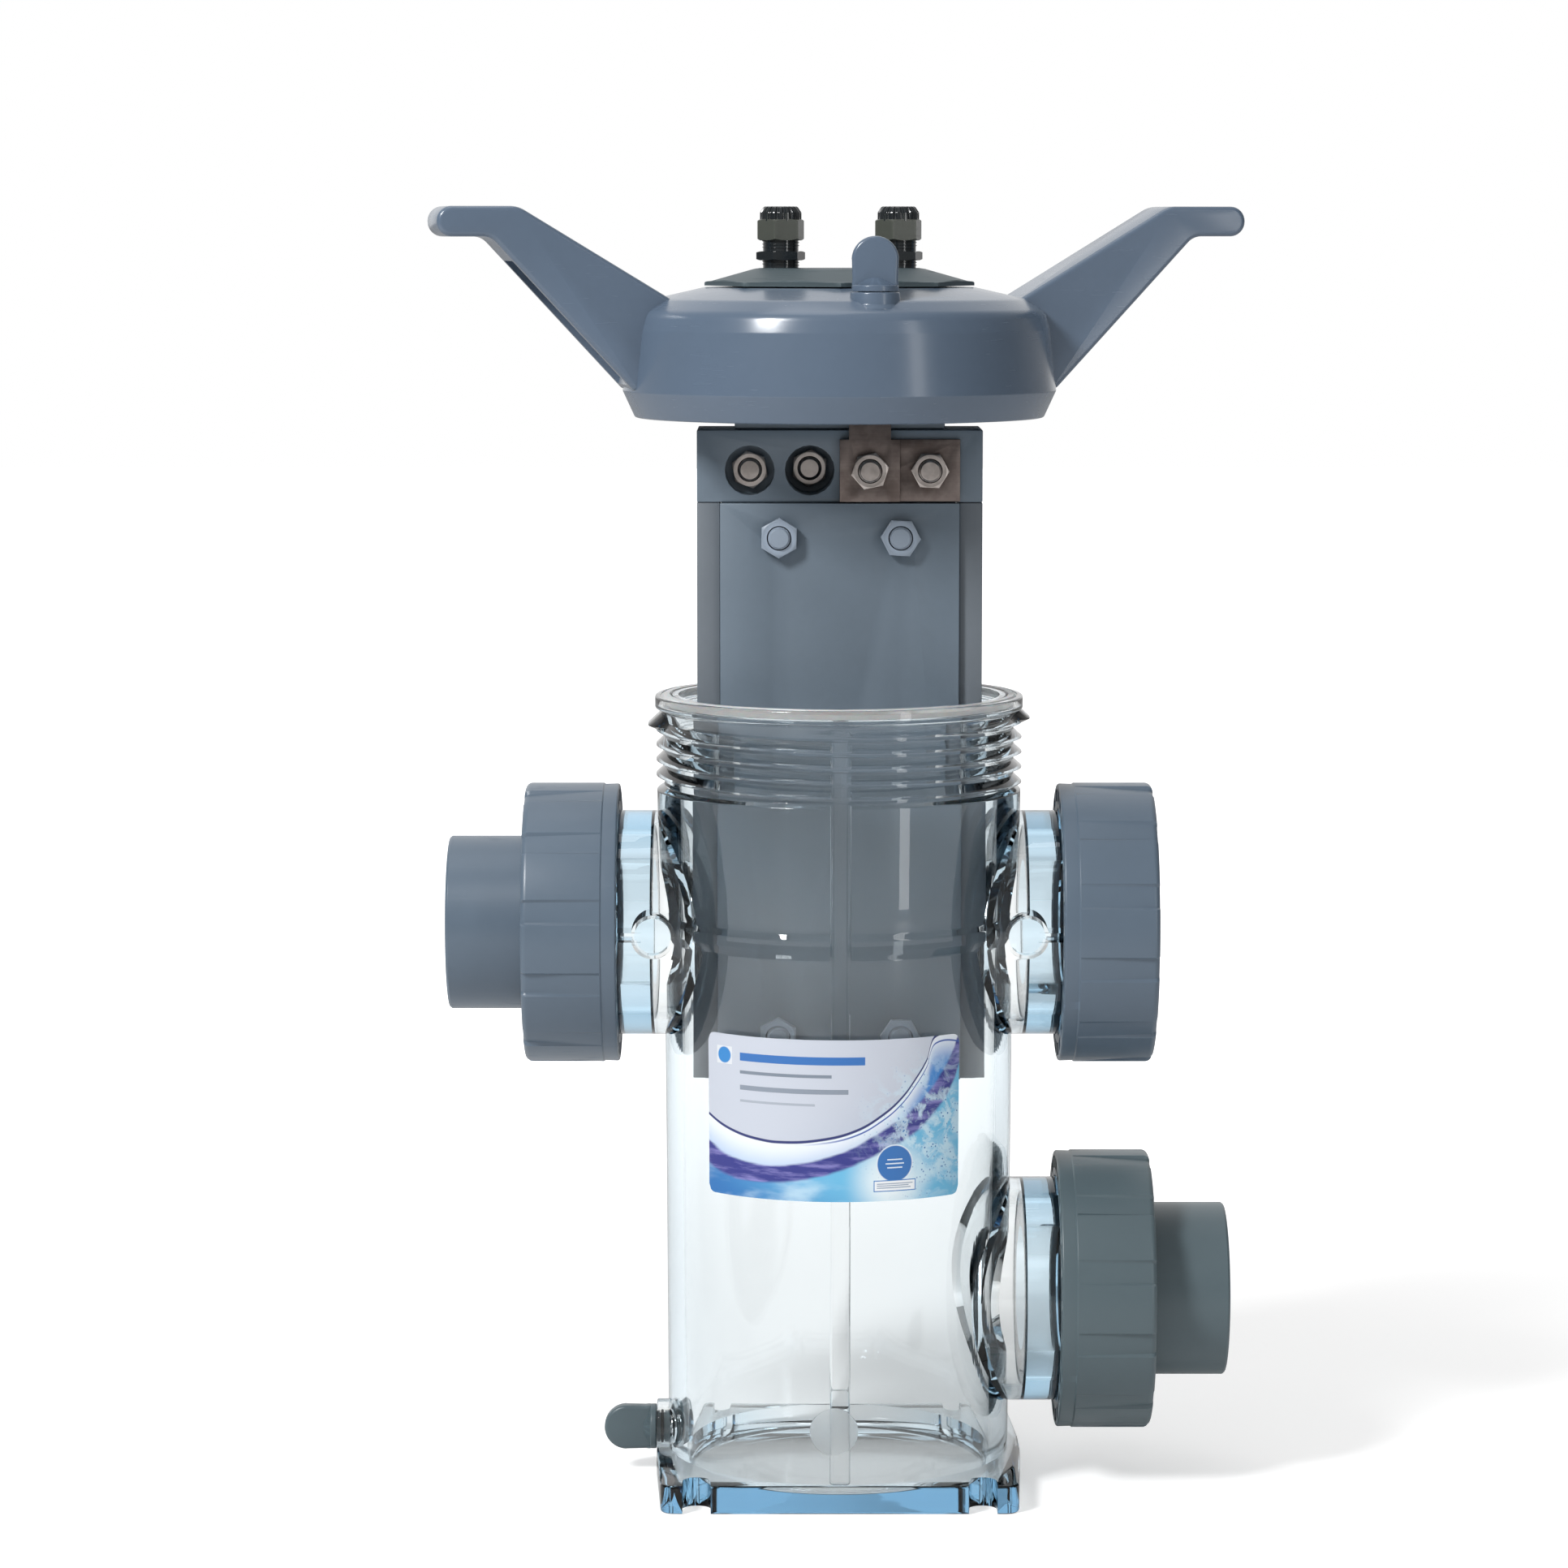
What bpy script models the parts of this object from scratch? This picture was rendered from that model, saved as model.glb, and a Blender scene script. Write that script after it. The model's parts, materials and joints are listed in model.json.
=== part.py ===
"""Salt chlorine generator: a clear vessel with three union ports and a lift-out electrolytic cell.

Metres, +Z up, X across the ports, -Y the labelled front. The origin is on the vessel's axis, on the
underside of its base. The lid and the cell are modelled lifted out of the vessel, on its axis.
"""

import math

import bmesh
import bpy
from mathutils import Matrix

GAP = 0.0003  # between pieces that touch on the real object
WIDE = 32  # facets round the vessel and the lid
MIDDLE = 24  # facets round the unions
SMALL = 10  # facets round fasteners

# Vessel
BASE_HALF = 0.0757
BASE_BULGE = 0.0790  # half-width at the middle of the left and right sides
BASE_TOP = 0.0123
FLOOR_Z = 0.0060
RIM_Z = 0.3410
LIP_R = 0.0790
NECK_R = 0.0772
NECK_BOTTOM_Z = 0.3000
WALL_TOP_R = 0.0762
WALL_BOTTOM_R = 0.0733
WALL_STRAIGHT_Z = 0.0260
BORE_TOP_R = 0.0690
BORE_BOTTOM_R = 0.0660
RING_SEAT = (0.0716, 0.0768)  # inner and outer radius of the O-ring groove in the rim
RING_SEAT_DEPTH = 0.0045
RIM_RING_R = 0.0024
SLOT_X = 0.0606
SLOT_R = 0.0060
SLOT_DEPTH = 0.0147

# The neck's buttress thread starts at the front and falls as it runs towards the right
THREAD_START_Z = 0.3327
THREAD_PITCH = 0.0069
THREAD_TURNS = 4.4
THREAD_CREST = 0.0048
THREAD_ROOT = 0.0008  # how deep the ridge is sunk into the neck

# Unions, along each port from the vessel's axis
UPPER_PORT_Z = 0.2420
LOWER_PORT_Z = 0.0810
PORT_R = 0.0484
PORT_THREAD_R = 0.0476
PORT_COLLAR_END = 0.0976
PORT_END = 0.1180
PORT_BORE_R = 0.0270
PORTS = [
    ("upper_left", -1, UPPER_PORT_Z),
    ("upper_right", 1, UPPER_PORT_Z),
    ("lower_right", 1, LOWER_PORT_Z),
]  # name, side, height
NUT_START = 0.0944
NUT_END = 0.1347
NUT_PAD_R = 0.0602
NUT_RECESS_R = 0.0592
NUT_PADS = 12
NUT_BORE_R = 0.0492
NUT_HOLE_R = 0.0386
FLANGE_R = 0.0455
FLANGE_FRONT = PORT_END + GAP
FLANGE_BACK = 0.1253
TAIL_R = 0.0373
TAIL_END = 0.1677
PIPE_R = 0.0303  # socket for 2 inch pipe, 60.3 mm outside
PIPE_DEPTH = 0.0380
TAIL_BORE_R = 0.0265
UNION_RING_R = 0.0384
UNION_RING_MINOR = 0.0016

# Winged plugs: the drain at the vessel's foot and the vent on the lid
PLUG_R = 0.00975
PLUG_DISC = 0.0030
PLUG_WING_THICK = 0.0070
PLUG_WING_HIGH = 0.0200
PLUG_SHANK_R = 0.0072
PLUG_SHANK_LONG = 0.0100
PLUG_RING_R = 0.00675
PLUG_RING_MINOR = 0.00065
DRAIN_Z = 0.0195
DRAIN_BOSS_R = 0.0120
DRAIN_BOSS_END = 0.0790
DRAIN_BORE_R = 0.0077

# Lid and handles, modelled at their own yaw about Z
LID_YAW = math.radians(11)
LID_BOTTOM_Z = 0.4598
LID_WIDE_Z = 0.4712
LID_WIDE_R = 0.0925
LID_SHOULDER_Z = 0.5100
LID_TOP_Z = 0.5149
LID_BORE_R = 0.0830
LID_CEILING_Z = 0.5005
LID_HOLE_R = 0.0465
HANDLE_WIDE = 0.0350
HANDLE_END = 0.1740
HANDLE_TOP_Z = 0.5490
HANDLE_PAD = 0.0127
VENT_R = 0.0728
VENT_SEAT_Z = 0.5137
VENT_BOSS_R = 0.0108

# Cell head
FLANGE_BOTTOM_Z = 0.4880
HEAD_FLANGE_R = 0.0795
HUB_R = 0.0456
PLUG_BOTTOM_Z = 0.4740
HEAD_PLUG_R = 0.0655
NECK_HALF = (0.0445, 0.0190)
PLATE_R = 0.0575
PLATE_CROWN_R = 0.0360
PLATE_BOTTOM_Z = 0.5155
PLATE_EDGE_Z = 0.5173
PLATE_TOP_Z = 0.5228

# Cable glands
GLAND_X = 0.0250
GLAND_THREAD_R = 0.0078
GLAND_HEX_R = 0.0106
GLAND_NUT_R = 0.0103
GLAND_DOME_R = 0.0090
GLAND_BORE_R = 0.0045
GLAND_HEX_Z = (0.5262, 0.5301)
GLAND_BODY_TOP_Z = 0.5385
GLAND_NUT_Z = (0.5346, 0.5436)
GLAND_TOP_Z = 0.5490

# Cell: terminal block, housing, electrodes
CELL_TOP_Z = 0.4550
CELL_BOTTOM_Z = 0.1780
CELL_HALF_X = 0.0605
CELL_HALF_Y = 0.0220
BLOCK_BOTTOM_Z = 0.4245
PANEL_HALF_X = 0.0507
PANEL_FACE_Y = 0.0250
PANEL_THICK = 0.0040
SIDE_INNER_X = 0.0520
WINDOW_Z = (0.3660, 0.4080)
WINDOW_HALF_Y = 0.0190
PLATE_COUNT = 6
PLATE_PITCH = 0.0062
PLATE_THICK = 0.0012
PLATE_HALF_X = 0.0540
PLATE_Z = (0.1840, 0.4200)
COMB_SLOT = 0.0018
COMB_DEPTH = 0.0026

# Fasteners of the cell
BOLT_R = 0.00475
BOLT_HOLE_R = 0.0052
TERMINAL_DEPTHS = [0.0100, 0.0240, 0.0240, 0.0100]  # of the recesses, left to right
TIE_X = 0.0257
TIE_Z = (0.1970, 0.4097)
TIE_NUT_R = 0.0086
TIE_NUT_THICK = 0.0050
TIE_END_Y = 0.0320
TERMINAL_PITCH = 0.0254
TERMINAL_Z = 0.4380
TERMINAL_NUT_R = 0.0082
TERMINAL_NUT_THICK = 0.0045
TERMINAL_RECESS_R = 0.0105
LINK_THICK = 0.0015
STRAP_THICK = 0.0018
TAB_WIDE = 0.0256
TAB_HIGH = 0.0264
STRAP_NECK = 0.0178

# Label
LABEL_TURN = math.radians(-2.8)
LABEL_HALF_ANGLE = math.radians(44.5)
LABEL_Z = (0.1340, 0.2027)
LABEL_THICK = 0.0004


def clear_scene():
    for obj in list(bpy.data.objects):
        bpy.data.objects.remove(obj, do_unlink=True)


def make_collection(name):
    collection = bpy.data.collections.new(name)
    bpy.context.scene.collection.children.link(collection)
    return collection


def make_material(name, color, roughness, metallic=0.0, transmission=0.0):
    material = bpy.data.materials.new(name)
    material.use_nodes = True
    shader = material.node_tree.nodes["Principled BSDF"]
    shader.inputs["Base Color"].default_value = (*color, 1.0)
    shader.inputs["Roughness"].default_value = roughness
    shader.inputs["Metallic"].default_value = metallic
    shader.inputs["Transmission Weight"].default_value = transmission
    material.diffuse_color = (*color, 1.0)
    return material


clear_scene()
PARTS = make_collection("salt_chlorine_generator")
CUTTERS = make_collection("cutters")

CLEAR = make_material("clear_vessel", (0.62, 0.78, 0.90), 0.08, transmission=0.9)
GREY_PVC = make_material("grey_pvc", (0.16, 0.20, 0.24), 0.38)
GREEN_GREY_PVC = make_material("green_grey_pvc", (0.17, 0.21, 0.22), 0.42)
CELL_PVC = make_material("cell_pvc", (0.14, 0.17, 0.20), 0.45)
TITANIUM = make_material("titanium", (0.42, 0.39, 0.36), 0.35, metallic=1.0)
COATED_TITANIUM = make_material("coated_titanium", (0.06, 0.06, 0.065), 0.6, metallic=0.6)
BLACK_NYLON = make_material("black_nylon", (0.02, 0.024, 0.03), 0.25)
SILICONE = make_material("silicone_ring", (0.55, 0.53, 0.50), 0.5)
RUBBER = make_material("black_rubber", (0.02, 0.02, 0.02), 0.7)
LABEL_FILM = make_material("label_film", (0.85, 0.88, 0.92), 0.3)


# Placing and joining ------------------------------------------------------------------------------


def place(name, mesh, material, location=(0, 0, 0), rotation=(0, 0, 0)):
    """A part when it has a material, and otherwise a hidden cutter."""
    obj = bpy.data.objects.new(name, mesh)
    obj.location = location
    obj.rotation_euler = rotation
    if material is None:
        obj.hide_render = True
        obj.display_type = "WIRE"
        CUTTERS.objects.link(obj)
        return obj
    if not mesh.materials:
        mesh.materials.append(material)
    PARTS.objects.link(obj)
    return obj


def boolean(obj, other, operation="DIFFERENCE"):
    modifier = obj.modifiers.new(f"{operation.lower()} {other.name}", "BOOLEAN")
    modifier.operation = operation
    modifier.object = other


def finished_mesh(obj):
    """The object's mesh with its modifiers applied, merged at doubles; the object is removed."""
    bpy.context.view_layer.update()
    graph = bpy.context.evaluated_depsgraph_get()
    mesh = bpy.data.meshes.new_from_object(obj.evaluated_get(graph))
    bm = bmesh.new()
    bm.from_mesh(mesh)
    bmesh.ops.remove_doubles(bm, verts=bm.verts, dist=0.00001)
    bm.to_mesh(mesh)
    bm.free()
    mesh.name = obj.name
    bpy.data.objects.remove(obj, do_unlink=True)
    return mesh


# Shapes -------------------------------------------------------------------------------------------


def box(name, low, high, material=None, **placing):
    mesh = bpy.data.meshes.new(name)
    bm = bmesh.new()
    bmesh.ops.create_cube(bm, size=1.0)
    size = [b - a for a, b in zip(low, high)]
    middle = [(a + b) / 2 for a, b in zip(low, high)]
    bmesh.ops.transform(bm, matrix=Matrix.Translation(middle) @ Matrix.Diagonal((*size, 1)), verts=bm.verts)
    bm.to_mesh(mesh)
    bm.free()
    return place(name, mesh, material, **placing)


def prism(name, radius, low, high, sides=SMALL, material=None, turn=0.0, **placing):
    """A bar of so many sides along local Z, from low to high."""
    mesh = bpy.data.meshes.new(name)
    bm = bmesh.new()
    bmesh.ops.create_cone(
        bm, cap_ends=True, segments=sides, radius1=radius, radius2=radius, depth=high - low
    )
    shift = Matrix.Translation((0, 0, (low + high) / 2)) @ Matrix.Rotation(turn, 4, "Z")
    bmesh.ops.transform(bm, matrix=shift, verts=bm.verts)
    bm.to_mesh(mesh)
    bm.free()
    return place(name, mesh, material, **placing)


def turned(name, profile, sides=WIDE, material=None, **placing):
    """Turns a profile of (radius, height) about local Z. It runs down the outer side. A profile
    that starts and ends on the axis is left open there, and any other is closed into a ring."""
    mesh = bpy.data.meshes.new(name)
    edges = [(i, i + 1) for i in range(len(profile) - 1)]
    if profile[0][0] > 0:
        edges.append((len(profile) - 1, 0))
    mesh.from_pydata([(r, 0, z) for r, z in profile], edges, [])
    obj = place(name, mesh, material, **placing)
    screw = obj.modifiers.new("turn", "SCREW")
    screw.steps = screw.render_steps = sides
    screw.use_merge_vertices = True
    screw.merge_threshold = 0.00005
    return obj


def outline(name, points, low, high, material=None, **placing):
    """A flat outline in local XY, extruded along local Z from low to high."""
    curve = bpy.data.curves.new(name, "CURVE")
    curve.dimensions = "2D"
    curve.fill_mode = "BOTH"
    curve.extrude = (high - low) / 2
    spline = curve.splines.new("POLY")
    spline.points.add(len(points) - 1)
    for point, (x, y) in zip(spline.points, points):
        point.co = (x, y, 0, 1)
    spline.use_cyclic_u = True
    mesh = finished_mesh(place(name + "_outline", curve, None))
    mesh.transform(Matrix.Translation((0, 0, (low + high) / 2)))
    return place(name, mesh, material, **placing)


def ring(name, radius, minor, material, sides=MIDDLE, **placing):
    """An O-ring lying in local XY, of six-sided section with a flat top and bottom."""
    corner = math.radians(60)
    points = [
        (radius + minor * math.cos(math.pi / 3 - i * corner), minor * math.sin(math.pi / 3 - i * corner))
        for i in range(6)
    ]
    return turned(name, points, sides, material, **placing)


def circle_points(radius, start, end, steps):
    angles = [start + (end - start) * i / steps for i in range(steps + 1)]
    return [(radius * math.cos(a), radius * math.sin(a)) for a in angles]


def along_port(sign, z):
    """Placing for a piece whose local Z runs out along a port: sign -1 to the left, 1 to the right."""
    return {"location": (0, 0, z), "rotation": (0, sign * math.pi / 2, 0)}


# Vessel -------------------------------------------------------------------------------------------


def thread_ridge():
    """The neck's helical ridge, swept from a section of four points."""
    section = bpy.data.curves.new("ridge_section", "CURVE")
    corners = section.splines.new("POLY")
    corners.points.add(3)
    top_slope = 2.6 / 4.8
    bottom_slope = 1.6 / 4.8
    shape = [
        (-THREAD_ROOT, 0.0032 + THREAD_ROOT * top_slope),
        (THREAD_CREST, 0.0006),
        (THREAD_CREST, -0.0013),
        (-THREAD_ROOT, -0.0029 - THREAD_ROOT * bottom_slope),
    ]
    for point, (out, up) in zip(corners.points, shape):
        point.co = (out, up, 0, 1)
    corners.use_cyclic_u = True
    section_object = place("ridge_section", section, None)

    path = bpy.data.curves.new("thread_ridge", "CURVE")
    path.dimensions = "3D"
    path.twist_mode = "Z_UP"
    path.bevel_mode = "OBJECT"
    path.bevel_object = section_object
    path.use_fill_caps = True
    steps = round(THREAD_TURNS * WIDE)
    spline = path.splines.new("POLY")
    spline.points.add(steps)
    for i, point in enumerate(spline.points):
        angle = -math.pi / 2 + 2 * math.pi * i / WIDE
        fall = THREAD_PITCH * i / WIDE
        point.co = (NECK_R * math.cos(angle), NECK_R * math.sin(angle), THREAD_START_Z - fall, 1)
    mesh = finished_mesh(place("thread_ridge", path, None))
    bpy.data.objects.remove(section_object, do_unlink=True)
    bm = bmesh.new()
    bm.from_mesh(mesh)
    bmesh.ops.recalc_face_normals(bm, faces=bm.faces)
    bm.to_mesh(mesh)
    bm.free()
    return place("thread_ridge", mesh, None)


def wall_radius(z):
    """The vessel's outside at a height: straight for its first part, then leaning out slightly."""
    share = max(0.0, (z - WALL_STRAIGHT_Z) / (NECK_BOTTOM_Z - WALL_STRAIGHT_Z))
    return WALL_BOTTOM_R + (WALL_TOP_R - WALL_BOTTOM_R) * share


def vessel():
    """A clear threaded body, welded into a slotted base, with three port stubs and a drain boss."""
    body = turned(
        "vessel_body",
        [
            (0, RIM_Z),
            (LIP_R, RIM_Z),
            (LIP_R, RIM_Z - 0.0055),
            (NECK_R, RIM_Z - 0.0070),
            (NECK_R, NECK_BOTTOM_Z),
            (WALL_TOP_R, NECK_BOTTOM_Z - 0.0010),
            (WALL_BOTTOM_R, WALL_STRAIGHT_Z),
            (WALL_BOTTOM_R, 0),
            (0, 0),
        ],
        material=CLEAR,
    )
    boolean(body, thread_ridge(), "UNION")
    boolean(body, prism("drain_boss", DRAIN_BOSS_R, 0.0600, DRAIN_BOSS_END, 20, **along_port(-1, DRAIN_Z)), "UNION")
    inside = [
        (0, RIM_Z + 0.0100),
        (BORE_TOP_R, RIM_Z + 0.0100),
        (BORE_TOP_R, RIM_Z - 0.0020),
        (BORE_BOTTOM_R, FLOOR_Z + 0.0080),
        (BORE_BOTTOM_R - 0.0023, FLOOR_Z + 0.0023),
        (BORE_BOTTOM_R - 0.0080, FLOOR_Z),
        (0, FLOOR_Z),
    ]
    boolean(body, turned("vessel_inside", inside))
    for name, sign, z in PORTS:
        boolean(body, prism(f"{name}_bore", PORT_BORE_R, 0.0400, 0.1000, MIDDLE, **along_port(sign, z)))
    boolean(body, prism("drain_bore", DRAIN_BORE_R, 0.0500, 0.0900, 16, **along_port(-1, DRAIN_Z)))
    inner, outer = RING_SEAT
    seat = [(inner, RIM_Z + 0.01), (outer, RIM_Z + 0.01), (outer, RIM_Z - RING_SEAT_DEPTH)]
    boolean(body, turned("rim_ring_seat", seat + [(inner, RIM_Z - RING_SEAT_DEPTH)]))
    wall_tilt = math.atan((WALL_TOP_R - WALL_BOTTOM_R) / (NECK_BOTTOM_Z - WALL_STRAIGHT_Z))
    channel = box(
        "front_channel",
        (-0.0042, -0.0200, 0),
        (0.0042, 0.0007, NECK_BOTTOM_Z - BASE_TOP - 0.0040),
        location=(0, -WALL_BOTTOM_R, BASE_TOP + 0.0010),
        rotation=(wall_tilt, 0, 0),
    )
    boolean(body, channel)
    ring(
        "rim_ring",
        (inner + outer) / 2,
        RIM_RING_R,
        SILICONE,
        WIDE,
        location=(0, 0, RIM_Z - RING_SEAT_DEPTH + RIM_RING_R + GAP),
    )
    vessel_base()
    for name, sign, z in PORTS:
        port_stub(f"{name}_stub", sign, z)


def vessel_base():
    """The square foot round the bottom of the body, with its sides bulging left and right."""
    half = BASE_HALF
    side = 0.0120
    corners = [(half, -half), (BASE_BULGE, -side), (BASE_BULGE, side), (half, half)]
    base = outline("vessel_base", corners + [(-x, -y) for x, y in corners], 0, BASE_TOP, CLEAR)
    round_body = WALL_BOTTOM_R + GAP
    boolean(base, turned("base_hole", [(0, 0.02), (round_body, 0.02), (round_body, -0.01), (0, -0.01)]))
    boss = prism("boss_notch", DRAIN_BOSS_R + GAP, 0.0600, 0.0900, 20, **along_port(-1, DRAIN_Z))
    boolean(base, boss)
    for x_sign in (-1, 1):
        for y_sign in (-1, 1):
            boolean(base, base_slot(x_sign, y_sign))


def port_stub(name, sign, z):
    """A short threaded tube whose inner end is saddled to fit the round body."""
    stub = turned(
        name,
        [
            (0, PORT_END),
            (PORT_THREAD_R, PORT_END),
            (PORT_THREAD_R, PORT_COLLAR_END),
            (PORT_R, PORT_COLLAR_END - 0.0008),
            (PORT_R, 0.0450),
            (0, 0.0450),
        ],
        MIDDLE,
        CLEAR,
        **along_port(sign, z),
    )
    saddle = [
        (0, RIM_Z),
        (WALL_TOP_R + GAP, RIM_Z),
        (WALL_TOP_R + GAP, NECK_BOTTOM_Z - 0.0010),
        (WALL_BOTTOM_R + GAP, WALL_STRAIGHT_Z),
        (WALL_BOTTOM_R + GAP, 0),
        (0, 0),
    ]
    boolean(stub, turned(f"{name}_saddle", saddle))
    boolean(stub, prism(f"{name}_bore", PORT_BORE_R, 0.0400, PORT_END + 0.0100, MIDDLE, **along_port(sign, z)))


def base_slot(x_sign, y_sign):
    """A bolt slot, open at the base's front or back edge, with a round inner end."""
    centre = SLOT_DEPTH - SLOT_R - BASE_HALF
    arc = [(x, centre + y) for x, y in circle_points(SLOT_R, 0, math.pi, 8)]
    outside = -BASE_HALF - 0.0100
    return outline(
        f"slot_{x_sign}_{y_sign}",
        [(SLOT_R, outside), *arc, (-SLOT_R, outside)],
        -0.0100,
        BASE_TOP + 0.0100,
        location=(x_sign * SLOT_X, 0, 0),
        rotation=(0, 0, 0 if y_sign < 0 else math.pi),
    )


def label():
    """A printed film wrapped part of the way round the vessel's front."""
    film = bpy.data.meshes.new("label")
    points = [(wall_radius(z) + GAP, 0, z) for z in reversed(LABEL_Z)]
    film.from_pydata(points, [(0, 1)], [])
    start = LABEL_TURN - math.pi / 2 - LABEL_HALF_ANGLE
    obj = place("label", film, LABEL_FILM, rotation=(0, 0, start))
    wrap = obj.modifiers.new("wrap", "SCREW")
    wrap.angle = 2 * LABEL_HALF_ANGLE
    wrap.steps = wrap.render_steps = 12
    film_depth = obj.modifiers.new("film", "SOLIDIFY")
    film_depth.thickness = LABEL_THICK
    film_depth.offset = 1.0


# Unions -------------------------------------------------------------------------------------------


def union_nut(name, sign, z, material):
    """A ring nut with raised grip pads round it, and an inward lip at its outer end."""
    pad = 2 * math.pi / NUT_PADS * 0.68
    points = []
    for i in range(NUT_PADS):
        middle = 2 * math.pi * i / NUT_PADS
        points += circle_points(NUT_PAD_R, middle - pad / 2, middle + pad / 2, 2)
        recess = 2 * math.pi / NUT_PADS - pad
        points += circle_points(NUT_RECESS_R, middle + pad / 2, middle + pad / 2 + recess, 1)
    nut = outline(name, points, NUT_START, NUT_END, material, **along_port(sign, z))
    bore = [
        (0, NUT_END + 0.0100),
        (NUT_HOLE_R, NUT_END + 0.0100),
        (NUT_HOLE_R, FLANGE_BACK + GAP),
        (NUT_BORE_R, FLANGE_BACK + GAP),
        (NUT_BORE_R, NUT_START - 0.0100),
        (0, NUT_START - 0.0100),
    ]
    boolean(nut, turned(f"{name}_bore", bore, MIDDLE, **along_port(sign, z)))


def ring_groove():
    """The O-ring groove in the face of a union's flange, walked from its outer edge inwards."""
    outer = UNION_RING_R + UNION_RING_MINOR + GAP
    inner = UNION_RING_R - UNION_RING_MINOR - GAP
    depth = FLANGE_FRONT + 2 * UNION_RING_MINOR
    return [(outer, FLANGE_FRONT), (outer, depth), (inner, depth), (inner, FLANGE_FRONT)]


def tailpiece(name, sign, z, material):
    """A flanged socket for a solvent-welded pipe."""
    stop = TAIL_END - PIPE_DEPTH
    profile = [
        (PIPE_R, TAIL_END),
        (TAIL_R - 0.0008, TAIL_END),
        (TAIL_R, TAIL_END - 0.0008),
        (TAIL_R, FLANGE_BACK),
        (FLANGE_R, FLANGE_BACK),
        (FLANGE_R, FLANGE_FRONT),
        *ring_groove(),
        (TAIL_BORE_R, FLANGE_FRONT),
        (TAIL_BORE_R, stop),
        (PIPE_R, stop),
    ]
    turned(name, profile, MIDDLE, material, **along_port(sign, z))


def blank_plug(name, sign, z, material):
    """The dished disc that closes a port that isn't piped."""
    profile = [
        (0, FLANGE_BACK + 0.0030),
        (0.0300, FLANGE_BACK + 0.0030),
        (0.0320, NUT_END - 0.0010),
        (TAIL_R, NUT_END - 0.0010),
        (TAIL_R, FLANGE_BACK),
        (FLANGE_R, FLANGE_BACK),
        (FLANGE_R, FLANGE_FRONT),
        *ring_groove(),
        (0, FLANGE_FRONT),
    ]
    turned(name, profile, MIDDLE, material, **along_port(sign, z))


def union_ring(name, sign, z):
    height = FLANGE_FRONT + UNION_RING_MINOR
    mesh = finished_mesh(ring(name + "_flat", UNION_RING_R, UNION_RING_MINOR, RUBBER))
    mesh.transform(Matrix.Translation((0, 0, height)))
    place(name, mesh, RUBBER, **along_port(sign, z))


# Winged plugs -------------------------------------------------------------------------------------


def winged_plug(name, material, **placing):
    """A plug with a wing to turn it by; its local Z runs out of the hole, from the seat."""
    groove = (PLUG_RING_R - PLUG_RING_MINOR - GAP / 2, -0.0015, -0.0015 - 3 * PLUG_RING_MINOR)
    profile = [
        (0, PLUG_DISC),
        (PLUG_R, PLUG_DISC),
        (PLUG_R, GAP),
        (PLUG_SHANK_R, GAP),
        (PLUG_SHANK_R, groove[1]),
        (groove[0], groove[1]),
        (groove[0], groove[2]),
        (PLUG_SHANK_R, groove[2]),
        (PLUG_SHANK_R, -PLUG_SHANK_LONG),
        (0, -PLUG_SHANK_LONG),
    ]
    plug = turned(name, profile, 16, material, **placing)
    top = PLUG_DISC + PLUG_WING_HIGH - PLUG_R
    arch = [(x, top + y) for x, y in circle_points(PLUG_R, 0, math.pi, 8)]
    foot = PLUG_DISC - 0.0010
    wing = outline(
        name + "_wing",
        [(PLUG_R * 0.97, foot), *arch, (-PLUG_R * 0.97, foot)],
        -PLUG_WING_THICK / 2,
        PLUG_WING_THICK / 2,
        **placing,
    )
    wing.data.transform(Matrix.Rotation(math.pi / 2, 4, "X"))
    boolean(plug, wing, "UNION")


def plug_ring(name, **placing):
    mesh = finished_mesh(ring(name + "_flat", PLUG_RING_R, PLUG_RING_MINOR, RUBBER, 16))
    mesh.transform(Matrix.Translation((0, 0, -0.0015 - 1.5 * PLUG_RING_MINOR)))
    place(name, mesh, RUBBER, **placing)


# Lid ----------------------------------------------------------------------------------------------


def handle(yaw):
    """One handle: a rising arm with a flat grip, open underneath as a channel."""
    grip = HANDLE_PAD / 2
    centre = (HANDLE_END - grip, HANDLE_TOP_Z - grip)
    nose = [(centre[0] + x, centre[1] + y) for x, y in circle_points(grip, math.pi / 2, -math.pi / 2, 6)]
    side = [(0.0700, 0.5000), (0.0740, 0.5093), (0.1400, HANDLE_TOP_Z), *nose]
    side += [(0.1515, HANDLE_TOP_Z - HANDLE_PAD), (0.0920, LID_WIDE_Z), (0.0700, LID_WIDE_Z)]
    upright = {"rotation": (math.pi / 2, 0, yaw)}
    arm = outline("handle_arm", side, -HANDLE_WIDE / 2, HANDLE_WIDE / 2, **upright)
    web = 0.0050
    hollow = [
        (LID_WIDE_R + 0.0010, LID_BOTTOM_Z - 0.0200),
        (LID_WIDE_R + 0.0010, 0.5150),
        (0.1345, 0.5395),
        (0.1430, 0.5395),
        (0.1430, LID_BOTTOM_Z - 0.0200),
    ]
    pocket = outline("handle_hollow", hollow, web - HANDLE_WIDE / 2, HANDLE_WIDE / 2 - web, **upright)
    boolean(arm, pocket)
    return arm


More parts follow.
